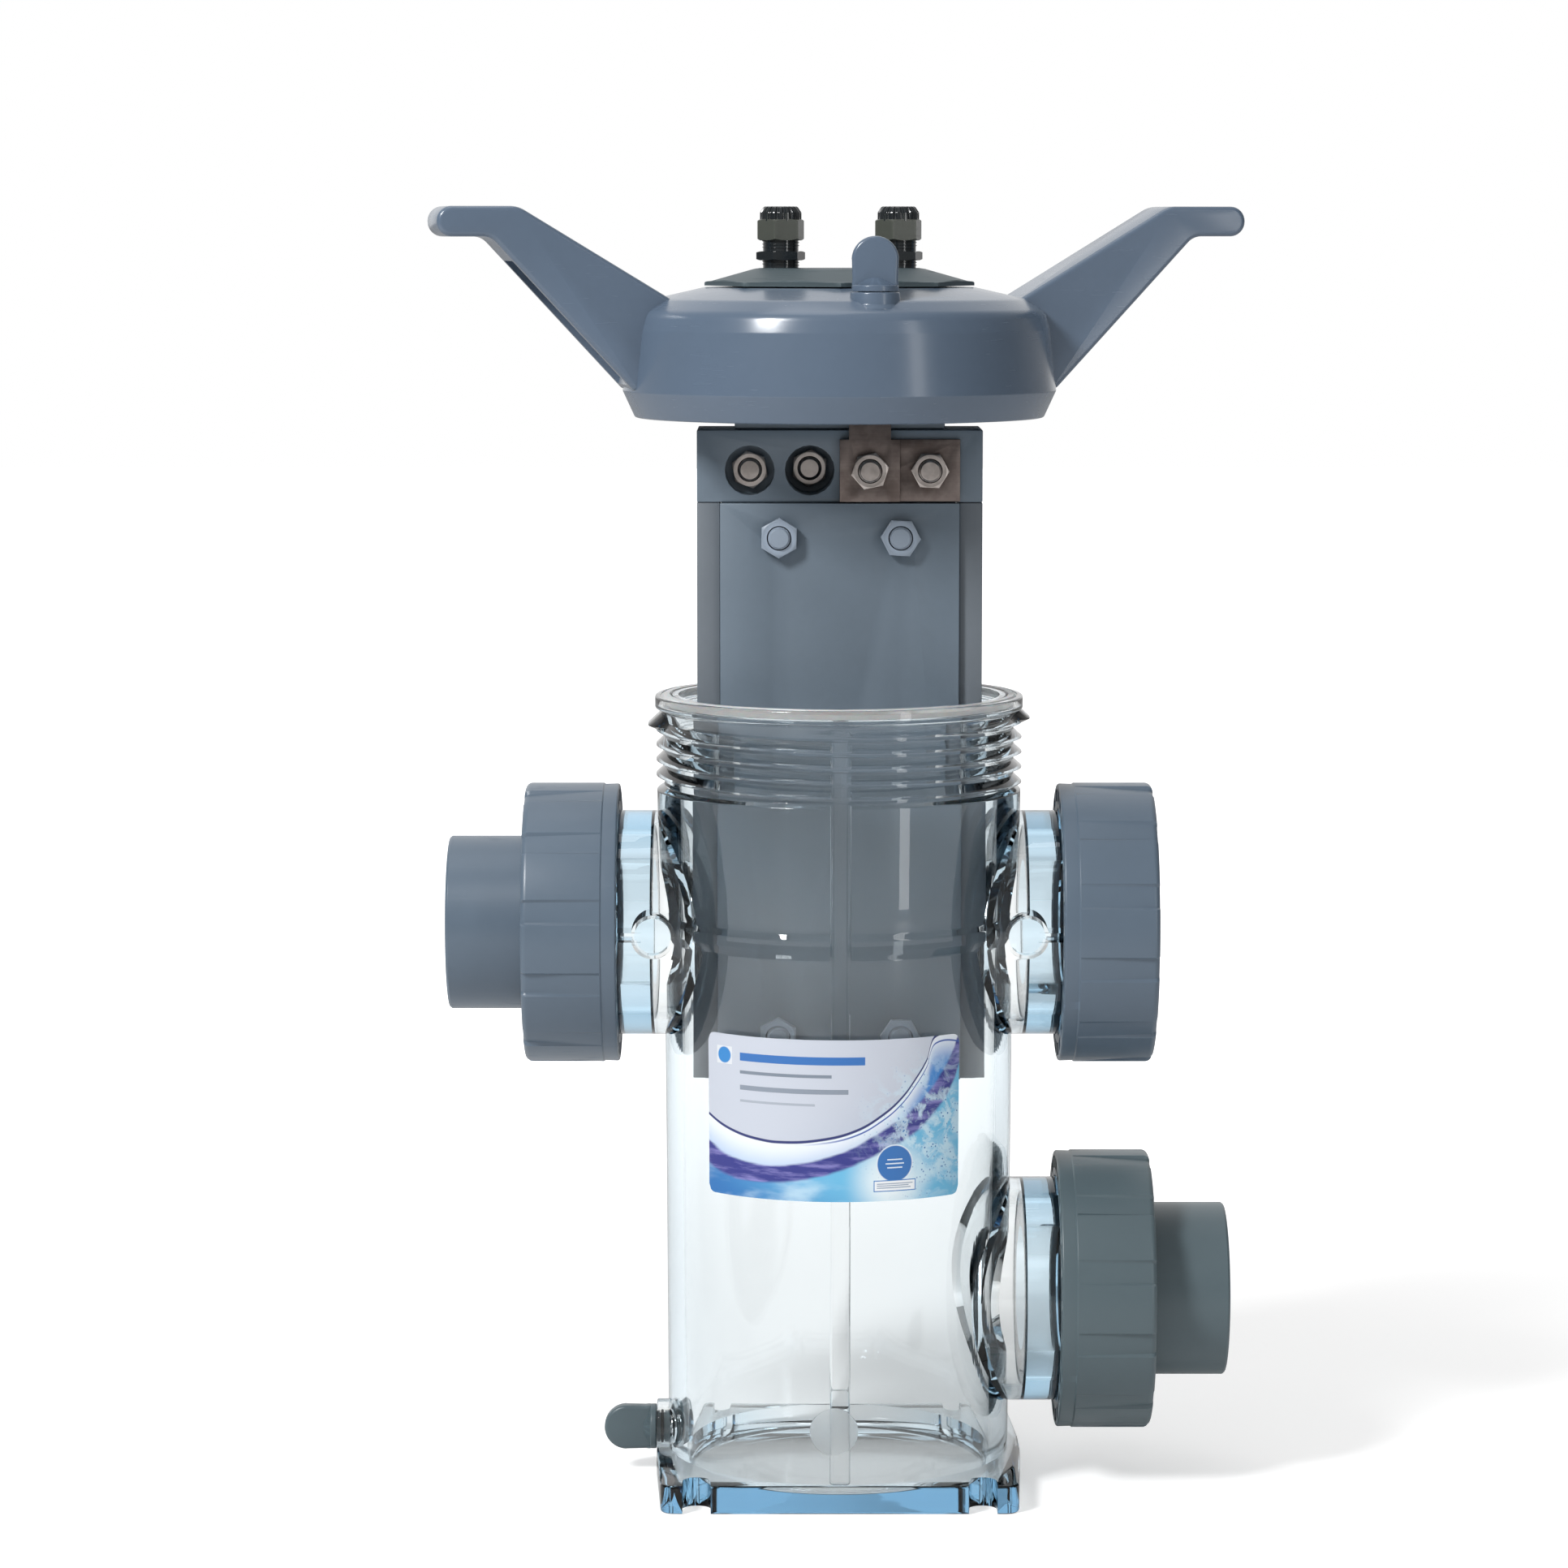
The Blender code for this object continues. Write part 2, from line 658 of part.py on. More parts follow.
def lid():
    body = turned(
        "lid",
        [
            (0, LID_TOP_Z),
            (PLATE_R, LID_TOP_Z),
            (0.0790, LID_SHOULDER_Z),
            (0.0850, 0.5070),
            (0.0892, 0.4990),
            (LID_WIDE_R, LID_WIDE_Z),
            (0.0870, LID_BOTTOM_Z),
            (0, LID_BOTTOM_Z),
        ],
        material=GREY_PVC,
        rotation=(0, 0, LID_YAW),
    )
    boolean(body, handle(LID_YAW), "UNION")
    boolean(body, handle(LID_YAW + math.pi), "UNION")
    vent = {"location": vent_place()}
    boss_foot = LID_SHOULDER_Z - 0.0060 - VENT_SEAT_Z
    boolean(body, prism("vent_boss", VENT_BOSS_R, boss_foot, 0, 20, **vent), "UNION")
    inside = [
        (0, LID_TOP_Z + 0.0100),
        (LID_HOLE_R, LID_TOP_Z + 0.0100),
        (LID_HOLE_R, LID_CEILING_Z),
        (LID_BORE_R, LID_CEILING_Z),
        (LID_BORE_R, LID_BOTTOM_Z - 0.0100),
        (0, LID_BOTTOM_Z - 0.0100),
    ]
    boolean(body, turned("lid_inside", inside, rotation=(0, 0, LID_YAW)))
    vent_hole = [(0, 0.0100), (DRAIN_BORE_R, 0.0100), (DRAIN_BORE_R, -0.0115), (0.0015, -0.0115)]
    vent_hole += [(0.0015, LID_CEILING_Z - 0.0050 - VENT_SEAT_Z), (0, LID_CEILING_Z - 0.0050 - VENT_SEAT_Z)]
    boolean(body, turned("vent_hole", vent_hole, 16, **vent))


def vent_place():
    return (VENT_R * math.sin(LID_YAW), -VENT_R * math.cos(LID_YAW), VENT_SEAT_Z)


# Cell head and glands -----------------------------------------------------------------------------


def cell_head():
    """The plug that closes the vessel under the lid, with the neck that carries the cell."""
    head = turned(
        "cell_head",
        [
            (0, PLATE_BOTTOM_Z - GAP),
            (HUB_R, PLATE_BOTTOM_Z - GAP),
            (HUB_R, LID_CEILING_Z - GAP),
            (HEAD_FLANGE_R, LID_CEILING_Z - GAP),
            (HEAD_FLANGE_R, FLANGE_BOTTOM_Z),
            (HEAD_PLUG_R, FLANGE_BOTTOM_Z),
            (HEAD_PLUG_R, PLUG_BOTTOM_Z),
            (0, PLUG_BOTTOM_Z),
        ],
        material=CELL_PVC,
    )
    x, y = NECK_HALF
    neck = box("cell_neck", (-x, -y, CELL_TOP_Z + GAP), (x, y, PLUG_BOTTOM_Z + 0.0050))
    boolean(head, neck, "UNION")
    turned(
        "terminal_plate",
        [
            (0, PLATE_TOP_Z),
            (PLATE_CROWN_R, PLATE_TOP_Z),
            (PLATE_R, PLATE_EDGE_Z),
            (PLATE_R, PLATE_BOTTOM_Z),
            (0, PLATE_BOTTOM_Z),
        ],
        8,
        GREEN_GREY_PVC,
    )


def gland(side, x):
    low, high = GLAND_HEX_Z
    at = {"location": (x, 0, 0)}
    body = prism(f"gland_body_{side}", GLAND_HEX_R, low, high, 6, BLACK_NYLON, **at)
    thread = prism(f"gland_thread_{side}", GLAND_THREAD_R, PLATE_TOP_Z + GAP, GLAND_BODY_TOP_Z, 16, **at)
    boolean(body, thread, "UNION")
    boolean(body, prism(f"gland_bore_{side}", GLAND_BORE_R, 0.5000, 0.5600, SMALL, **at))

    low, high = GLAND_NUT_Z
    nut = prism(f"gland_nut_{side}", GLAND_NUT_R, low, high, 6, BLACK_NYLON, turn=0.3, **at)
    dome = [
        (0, GLAND_TOP_Z),
        (0.0066, GLAND_TOP_Z),
        (0.0084, GLAND_TOP_Z - 0.0014),
        (GLAND_DOME_R, GLAND_TOP_Z - 0.0035),
        (GLAND_DOME_R, high - 0.0010),
        (0, high - 0.0010),
    ]
    boolean(nut, turned(f"gland_dome_{side}", dome, 16, **at), "UNION")
    room = [
        (0, 0.5600),
        (GLAND_BORE_R, 0.5600),
        (GLAND_BORE_R, high - 0.0005),
        (GLAND_THREAD_R + 0.0004, high - 0.0005),
        (GLAND_THREAD_R + 0.0004, 0.5300),
        (0, 0.5300),
    ]
    boolean(nut, turned(f"gland_room_{side}", room, 16, **at))
    seal_top = high - 0.0005 - GAP
    seal = [
        (GLAND_BORE_R, seal_top),
        (GLAND_THREAD_R, seal_top),
        (GLAND_THREAD_R, GLAND_BODY_TOP_Z + GAP),
        (GLAND_BORE_R, GLAND_BODY_TOP_Z + GAP),
    ]
    turned(f"gland_seal_{side}", seal, 16, RUBBER, **at)


# Cell ---------------------------------------------------------------------------------------------


def across(x, z):
    """Placing for a piece whose local Z runs towards the back, +Y, through (x, z)."""
    return {"location": (x, 0, z), "rotation": (-math.pi / 2, 0, 0)}


def terminal_xs():
    return [TERMINAL_PITCH * step for step in (-1.5, -0.5, 0.5, 1.5)]


def terminal_block():
    """The solid top of the cell. Two of its four terminals are sunk from the front, two from the
    back, one shallow and one deep on each side."""
    block = box(
        "terminal_block",
        (-CELL_HALF_X, -CELL_HALF_Y, BLOCK_BOTTOM_Z),
        (CELL_HALF_X, CELL_HALF_Y, CELL_TOP_Z),
        CELL_PVC,
    )
    for i, x in enumerate(terminal_xs()):
        at = across(x, TERMINAL_Z)
        boolean(block, prism(f"terminal_hole_{i}", BOLT_HOLE_R, -0.03, 0.03, SMALL, **at))
        depth = TERMINAL_DEPTHS[i]
        low, high = (-0.0300, depth - CELL_HALF_Y) if x < 0 else (CELL_HALF_Y - depth, 0.0300)
        boolean(block, prism(f"terminal_recess_{i}", TERMINAL_RECESS_R, low, high, 20, **at))


def housing():
    for side, sign in (("front", -1), ("back", 1)):
        outer, inner = sign * PANEL_FACE_Y, sign * (PANEL_FACE_Y - PANEL_THICK)
        panel = box(
            f"{side}_panel",
            (-PANEL_HALF_X, min(outer, inner), CELL_BOTTOM_Z),
            (PANEL_HALF_X, max(outer, inner), BLOCK_BOTTOM_Z - GAP),
            CELL_PVC,
        )
        for hole in tie_holes(f"{side}_panel", BOLT_HOLE_R):
            boolean(panel, hole)
    for side, sign in (("left", -1), ("right", 1)):
        outer, inner = sign * CELL_HALF_X, sign * SIDE_INNER_X
        wall = box(
            f"{side}_side_wall",
            (min(outer, inner), -CELL_HALF_Y, CELL_BOTTOM_Z),
            (max(outer, inner), CELL_HALF_Y, BLOCK_BOTTOM_Z - GAP),
            CELL_PVC,
        )
        low = (min(outer, inner) - 0.01, -WINDOW_HALF_Y, WINDOW_Z[0])
        high = (max(outer, inner) + 0.01, WINDOW_HALF_Y, WINDOW_Z[1])
        boolean(wall, box(f"{side}_window", low, high))
        comb = inner + sign * COMB_DEPTH
        for i, y in enumerate(plate_ys()):
            low = (min(comb, inner - sign * 0.01), y - COMB_SLOT / 2, PLATE_Z[0] - GAP)
            high = (max(comb, inner - sign * 0.01), y + COMB_SLOT / 2, PLATE_Z[1] + 0.01)
            boolean(wall, box(f"{side}_comb_{i}", low, high))


def tie_holes(name, radius):
    return [
        prism(f"{name}_tie_hole_{i}_{j}", radius, -0.04, 0.04, SMALL, **across(sign * TIE_X, z))
        for i, sign in enumerate((-1, 1))
        for j, z in enumerate(TIE_Z)
    ]


def plate_ys():
    return [PLATE_PITCH * (i - (PLATE_COUNT - 1) / 2) for i in range(PLATE_COUNT)]


def electrode_plates():
    half = PLATE_THICK / 2
    sheet = box("plate_sheet", (-PLATE_HALF_X, -half, PLATE_Z[0]), (PLATE_HALF_X, half, PLATE_Z[1]))
    for hole in tie_holes("plate", BOLT_HOLE_R):
        boolean(sheet, hole)
    mesh = finished_mesh(sheet)
    for i, y in enumerate(plate_ys()):
        place(f"electrode_plate_{i + 1}", mesh, COATED_TITANIUM, location=(0, y, 0))


def bolt(name, x, z, head, end, head_r, head_thick, material):
    """A hex bolt lying along Y: its head bears at y = head, from behind, and it ends at y = end."""
    piece = prism(name, head_r, head, head + head_thick, 6, material, turn=0.5, **across(x, z))
    shank = prism(name + "_shank", BOLT_R, end, head + 0.0010, SMALL, **across(x, z))
    boolean(piece, shank, "UNION")


def nut(name, x, z, front, radius, thick, material, turn):
    """A hex nut on the bolt at (x, z), from y = front towards the back."""
    piece = prism(name, radius, front, front + thick, 6, material, turn=turn, **across(x, z))
    boolean(piece, prism(name + "_hole", BOLT_HOLE_R, front - 0.01, front + 0.02, SMALL, **across(x, z)))


def tie_fasteners():
    for side, sign in (("left", -1), ("right", 1)):
        for level, z in zip(("lower", "upper"), TIE_Z):
            where = f"{level}_{side}"
            x = sign * TIE_X
            head = PANEL_FACE_Y + GAP
            bolt(f"tie_bolt_{where}", x, z, head, -TIE_END_Y, TIE_NUT_R, TIE_NUT_THICK, CELL_PVC)
            front = -PANEL_FACE_Y - GAP - TIE_NUT_THICK
            turn = 0.0 if side == "left" else math.pi / 6
            nut(f"tie_nut_{where}", x, z, front, TIE_NUT_R, TIE_NUT_THICK, CELL_PVC, turn)


def terminals():
    """Four titanium bolts through the block, and a link plate and a strap up to the head on each
    face for the pair that isn't sunk there."""
    face = CELL_HALF_Y + GAP
    over_link = face + LINK_THICK + GAP
    over_strap = over_link + STRAP_THICK + GAP
    for i, x in enumerate(terminal_xs()):
        sunk = CELL_HALF_Y - TERMINAL_DEPTHS[i] + GAP
        proud = over_strap if abs(x) < TERMINAL_PITCH else over_link
        if x < 0:
            head, nut_back = proud, -sunk
        else:
            head, nut_back = sunk, -proud
        front = nut_back - TERMINAL_NUT_THICK
        shape = (TERMINAL_NUT_R, TERMINAL_NUT_THICK)
        bolt(f"terminal_bolt_{i + 1}", x, TERMINAL_Z, head, front - 0.0025, *shape, TITANIUM)
        nut(f"terminal_nut_{i + 1}", x, TERMINAL_Z, front, *shape, TITANIUM, 0.25 * i)
    for side, sign in (("front", -1), ("back", 1)):
        low = TERMINAL_Z - TAB_HIGH / 2
        high = TERMINAL_Z + TAB_HIGH / 2
        half = TAB_WIDE / 2
        near, far = TERMINAL_PITCH * 0.5, TERMINAL_PITCH * 1.5
        link_x = sorted((-sign * (near - half), -sign * (far + half)))
        link_y = sorted((sign * face, sign * (face + LINK_THICK)))
        link = box(f"link_plate_{side}", (link_x[0], link_y[0], low), (link_x[1], link_y[1], high), TITANIUM)
        strap_y = sorted((sign * over_link, sign * (over_link + STRAP_THICK)))
        neck = STRAP_NECK / 2
        top = PLUG_BOTTOM_Z - GAP - TERMINAL_Z
        tall = high - TERMINAL_Z
        shape = [(-half, -tall), (half, -tall), (half, tall), (neck, tall), (neck, top)]
        shape += [(-neck, top), (-neck, tall), (-half, tall)]
        upright = {"location": (-sign * near, 0, TERMINAL_Z), "rotation": (math.pi / 2, 0, 0)}
        strap = outline(f"bus_strap_{side}", shape, -strap_y[1], -strap_y[0], TITANIUM, **upright)
        for step, x in enumerate((near, far)):
            name = f"link_hole_{side}_{step}"
            hole = prism(name, BOLT_HOLE_R, -0.04, 0.04, SMALL, **across(-sign * x, TERMINAL_Z))
            boolean(link, hole)
            if step == 0:
                boolean(strap, hole)


def main():
    vessel()
    label()
    for name, sign, z in PORTS:
        material = GREEN_GREY_PVC if name == "lower_right" else GREY_PVC
        union_nut(f"{name}_nut", sign, z, material)
        if name == "upper_right":
            blank_plug("upper_right_blank_plug", sign, z, material)
        else:
            tailpiece(f"{name}_tailpiece", sign, z, material)
        union_ring(f"{name}_ring", sign, z)
    at_drain = {"location": (-DRAIN_BOSS_END, 0, DRAIN_Z), "rotation": (0, -math.pi / 2, 0)}
    winged_plug("drain_plug", GREEN_GREY_PVC, **at_drain)
    plug_ring("drain_ring", **at_drain)
    lid()
    winged_plug("vent_plug", GREY_PVC, location=vent_place())
    plug_ring("vent_ring", location=vent_place())
    cell_head()
    gland("left", -GLAND_X)
    gland("right", GLAND_X)
    terminal_block()
    housing()
    electrode_plates()
    tie_fasteners()
    terminals()


main()
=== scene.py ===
"""The looks of a salt chlorine generator: a clear vessel with its union ports, and the cell and the
screw lid lifted out of it. Shapes are written in millimetres in the model's own frame, and the
builders below turn them into metres."""

import json
import math

import bmesh
import bpy
import numpy as np
from mathutils import Matrix, Vector

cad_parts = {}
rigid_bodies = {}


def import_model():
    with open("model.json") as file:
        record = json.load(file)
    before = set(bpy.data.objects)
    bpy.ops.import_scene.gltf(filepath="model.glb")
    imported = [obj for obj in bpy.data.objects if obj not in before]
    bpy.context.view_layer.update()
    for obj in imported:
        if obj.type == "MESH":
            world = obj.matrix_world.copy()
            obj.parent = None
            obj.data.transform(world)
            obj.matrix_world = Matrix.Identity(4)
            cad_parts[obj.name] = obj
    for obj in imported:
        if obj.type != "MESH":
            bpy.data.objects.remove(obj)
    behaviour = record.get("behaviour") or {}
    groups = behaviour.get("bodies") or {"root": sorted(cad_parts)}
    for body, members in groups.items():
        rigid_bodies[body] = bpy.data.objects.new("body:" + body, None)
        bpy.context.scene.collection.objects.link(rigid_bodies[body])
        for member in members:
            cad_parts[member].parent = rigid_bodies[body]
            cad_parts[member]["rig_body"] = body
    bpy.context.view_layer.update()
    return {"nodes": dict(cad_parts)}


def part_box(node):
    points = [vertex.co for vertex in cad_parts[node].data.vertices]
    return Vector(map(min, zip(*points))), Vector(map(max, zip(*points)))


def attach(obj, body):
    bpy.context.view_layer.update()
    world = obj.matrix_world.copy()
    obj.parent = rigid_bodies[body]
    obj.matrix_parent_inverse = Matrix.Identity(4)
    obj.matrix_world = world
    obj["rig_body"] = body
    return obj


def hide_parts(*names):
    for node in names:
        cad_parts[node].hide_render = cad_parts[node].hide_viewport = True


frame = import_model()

MM = 0.001
NODES = frame["nodes"]

# Heights and radii that more than one piece needs, in millimetres
UPPER_PORT = 242.0
LOWER_PORT = 81.0
RIM = 341.0
LID_YAW = math.radians(11)
VENT = (72.8 * math.sin(LID_YAW), -72.8 * math.cos(LID_YAW), 513.7)
GLAND_X = 25.0

# Node trees


def add(tree, kind, inputs=None, **settings):
    """Adds a node. Its inputs are given by name or number, each as a socket to link or a value."""
    node = tree.nodes.new(kind)
    for name, value in settings.items():
        setattr(node, name, value)
    for name, value in (inputs or {}).items():
        socket = node.inputs[name]
        if isinstance(value, bpy.types.NodeSocket):
            tree.links.new(value, socket)
        elif value is not None:
            socket.default_value = value
    return node


def calc(tree, operation, *values, clamp=False):
    """A Math node's result."""
    inputs = dict(enumerate(values))
    return add(tree, "ShaderNodeMath", inputs, operation=operation, use_clamp=clamp).outputs[0]


def product(tree, first, *others):
    for other in others:
        first = calc(tree, "MULTIPLY", first, other)
    return first


def vector_calc(tree, operation, *values):
    """A Vector Math node's outputs."""
    return add(tree, "ShaderNodeVectorMath", dict(enumerate(values)), operation=operation).outputs


def combined(tree, x=0.0, y=0.0, z=0.0):
    return add(tree, "ShaderNodeCombineXYZ", {"X": x, "Y": y, "Z": z}).outputs[0]


def split(tree, vector):
    return add(tree, "ShaderNodeSeparateXYZ", {0: vector}).outputs


def own_place(tree):
    """Object coordinates, which are the model's own, in metres."""
    return add(tree, "ShaderNodeTexCoord").outputs["Object"]


def smooth_step(tree, value, low, high):
    """0 below low, 1 above high, and a smooth rise between."""
    inputs = {"Value": value, "From Min": low, "From Max": high}
    node = add(tree, "ShaderNodeMapRange", inputs, interpolation_type="SMOOTHSTEP")
    return node.outputs["Result"]


def new_tree(name, kind, inputs, outputs):
    """A node group with named sockets. An input's default sets its type, and an input without one
    is given by its type."""
    tree = bpy.data.node_groups.new(name, kind)
    for label, default in inputs.items():
        if isinstance(default, str):
            tree.interface.new_socket(label, in_out="INPUT", socket_type="NodeSocket" + default)
            continue
        if isinstance(default, tuple):
            sort = "Color" if len(default) == 4 else "Vector"
        else:
            sort = "Int" if isinstance(default, int) else "Float"
        socket = tree.interface.new_socket(label, in_out="INPUT", socket_type="NodeSocket" + sort)
        socket.default_value = default
    for label, sort in outputs.items():
        tree.interface.new_socket(label, in_out="OUTPUT", socket_type="NodeSocket" + sort)
    given = tree.nodes.new("NodeGroupInput").outputs
    result = tree.nodes.new("NodeGroupOutput").inputs
    return tree, given, result


# Building meshes


def piece(name, mesh):
    obj = bpy.data.objects.new(name, mesh)
    bpy.context.scene.collection.objects.link(obj)
    return obj


def smoothed(obj, angle=32.0):
    obj.data.shade_smooth()
    obj.data.set_sharp_from_angle(angle=math.radians(angle))
    return obj


def taken(obj):
    """Gives the object its evaluated mesh, and drops its modifiers."""
    bpy.context.view_layer.update()
    graph = bpy.context.evaluated_depsgraph_get()
    mesh = bpy.data.meshes.new_from_object(obj.evaluated_get(graph))
    obj.modifiers.clear()
    obj.data = mesh
    return obj


def moved(obj, matrix):
    """Moves the mesh, with the matrix's shift in millimetres, and leaves the object at the origin."""
    shift = Matrix.Translation(matrix.translation * MM) @ matrix.to_3x3().to_4x4()
    obj.data.transform(shift)
    return obj


def at(x=0.0, y=0.0, z=0.0):
    return Matrix.Translation((x, y, z))


def about(axis, degrees):
    return Matrix.Rotation(math.radians(degrees), 4, axis)


def along_port(sign, z):
    """Local Z becomes the way out of a port: sign -1 to the left, 1 to the right."""
    return at(0, 0, z) @ about("Y", sign * 90)


def rounded(corners, steps=6, closed=True):
    """A profile's points, with an arc at each corner given as (radius, height, fillet)."""
    points = []
    count = len(corners)
    for i, corner in enumerate(corners):
        here = Vector(corner[:2])
        before, after = Vector(corners[i - 1][:2]), Vector(corners[(i + 1) % count][:2])
        if len(corner) < 3 or (not closed and i in (0, count - 1)):
            points.append(tuple(here))
            continue
        u, v = (before - here), (after - here)
        room = 0.49 * min(u.length, v.length)
        u, v = u.normalized(), v.normalized()
        half = u.angle(v) / 2
        reach = min(corner[2] / math.tan(half), room)
        radius = reach * math.tan(half)
        centre = here + (u + v).normalized() * (radius / math.sin(half))
        start, end = here + u * reach - centre, here + v * reach - centre
        turn = start.angle_signed(end)
        for step in range(steps + 1):
            a = -turn * step / steps
            x = start.x * math.cos(a) - start.y * math.sin(a)
            y = start.x * math.sin(a) + start.y * math.cos(a)
            points.append((centre.x + x, centre.y + y))
    return points


def turned(name, profile, steps=128):
    """Turns a profile of (radius, height) about Z. One that starts and ends on the axis is closed
    there, and any other is closed into a ring."""
    on_axis = profile[0][0] < 1e-6
    angles = np.linspace(0, 2 * math.pi, steps, endpoint=False)
    points, rows = [], []
    for radius, height in profile:
        start = len(points)
        if radius < 1e-6:
            points.append((0, 0, height * MM))
            rows.append([start] * steps)
        else:
            ring = [(radius * MM * math.cos(a), radius * MM * math.sin(a), height * MM) for a in angles]
            points.extend(ring)
            rows.append(list(range(start, start + steps)))
    if not on_axis:
        rows.append(rows[0])
    faces = []
    for upper, lower in zip(rows, rows[1:]):
        for i in range(steps):
            j = (i + 1) % steps
            corners = [upper[i], lower[i], lower[j], upper[j]]
            face = [c for k, c in enumerate(corners) if c != corners[k - 1]]
            if len(face) > 2:
                faces.append(face)
    mesh = bpy.data.meshes.new(name)
    mesh.from_pydata(points, [], faces)
    face_out(mesh)
    return piece(name, mesh)


def face_out(mesh):
    bm = bmesh.new()
    bm.from_mesh(mesh)
    bmesh.ops.remove_doubles(bm, verts=bm.verts, dist=1e-7)
    bmesh.ops.recalc_face_normals(bm, faces=bm.faces)
    bm.to_mesh(mesh)
    bm.free()


def bevel_edges(bm, width, segments):
    """Rounds the edges that turn by more than 30 degrees."""
    edges = [e for e in bm.edges if e.is_manifold and e.calc_face_angle(0) > math.radians(30)]
    if width > 0 and edges:
        bmesh.ops.bevel(
            bm, geom=edges, offset=width * MM, segments=segments, profile=0.5, affect="EDGES",
            clamp_overlap=True,
        )


def slab(name, outline, low, high, bevel=0.0, segments=3):
    """A flat outline drawn up along Z from low to high, with its edges rounded."""
    bm = bmesh.new()
    corners = [bm.verts.new((x * MM, y * MM, low * MM)) for x, y in outline]
    face = bm.faces.new(corners)
    grown = bmesh.ops.extrude_face_region(bm, geom=[face])["geom"]
    lifted = [v for v in grown if isinstance(v, bmesh.types.BMVert)]
    bmesh.ops.translate(bm, verts=lifted, vec=(0, 0, (high - low) * MM))
    bmesh.ops.recalc_face_normals(bm, faces=bm.faces)
    bevel_edges(bm, bevel, segments)
    mesh = bpy.data.meshes.new(name)
    bm.to_mesh(mesh)
    bm.free()
    return piece(name, mesh)


def block(name, low, high, bevel=0.0):
    (x0, y0, z0), (x1, y1, z1) = low, high
    return slab(name, [(x0, y0), (x1, y0), (x1, y1), (x0, y1)], z0, z1, bevel)


def drum(name, radius, low, high, steps=48):
    return turned(name, [(0, high), (radius, high), (radius, low), (0, low)], steps)


def arc(radius, start, end, steps, centre=(0.0, 0.0)):
    turns = [math.radians(start + (end - start) * i / steps) for i in range(steps + 1)]
    return [(centre[0] + radius * math.cos(a), centre[1] + radius * math.sin(a)) for a in turns]


def combine(obj, others, operation):
    """Joins the others to the object, or cuts them from it, and removes them."""
    for other in others:
        modifier = obj.modifiers.new("with " + other.name, "BOOLEAN")
        modifier.operation = operation
        modifier.solver = "MANIFOLD"
        modifier.object = other
    taken(obj)
    for other in others:
        bpy.data.objects.remove(other, do_unlink=True)
    return obj


def softened(node, width):
    """A finer copy of a CAD node, with its flats merged and its edges rounded. It stands for it."""
    bm = bmesh.new()
    bm.from_mesh(NODES[node].data)
    bmesh.ops.remove_doubles(bm, verts=bm.verts, dist=2e-6)
    bmesh.ops.dissolve_limit(bm, angle_limit=math.radians(1.0), verts=bm.verts, edges=bm.edges)
    bevel_edges(bm, width, 2)
    mesh = bpy.data.meshes.new(node + "_piece")
    bm.to_mesh(mesh)
    bm.free()
    return stands_for(smoothed(piece(node + "_piece", mesh)), node)


def stands_for(obj, node):
    """The piece rides with a CAD node's body and is shown in its place."""
    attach(obj, NODES[node]["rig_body"])
    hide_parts(node)
    return obj


def with_tree(obj, tree, **values):
    """Runs a Geometry Nodes tree on the object, with its inputs set by name, and takes the result."""
    modifier = obj.modifiers.new(tree.name, "NODES")
    modifier.node_group = tree
    for item in tree.interface.items_tree:
        name = item.name.lower().replace(" ", "_")
        if item.in_out == "INPUT" and name in values:
            modifier[item.identifier] = values[name]
    return taken(obj)


# Geometry Nodes


def shape_tree(name, **inputs):
    """A tree of the given inputs, with geometry and a material coming in and geometry going out."""
    labels = {key.replace("_", " ").title(): value for key, value in inputs.items()}
    sockets = {"Geometry": "Geometry", **labels, "Material": "Material"}
    return new_tree(name, "GeometryNodeTree", sockets, {"Geometry": "Geometry"})


def close_tree(tree, result, geometry, material):
    """Ends a tree the way each of them ends: real geometry with its material set."""
    real = add(tree, "GeometryNodeRealizeInstances", {"Geometry": geometry})
    done = add(tree, "GeometryNodeSetMaterial", {"Geometry": real.outputs[0], "Material": material})
    tree.links.new(done.outputs[0], result["Geometry"])
    return tree


def place_about_z(tree):
    """A point's x, y and z, and how far it is from Z."""
    x, y, z = split(tree, add(tree, "GeometryNodeInputPosition").outputs[0])
    return x, y, z, calc(tree, "SQRT", calc(tree, "ADD", product(tree, x, x), product(tree, y, y)))


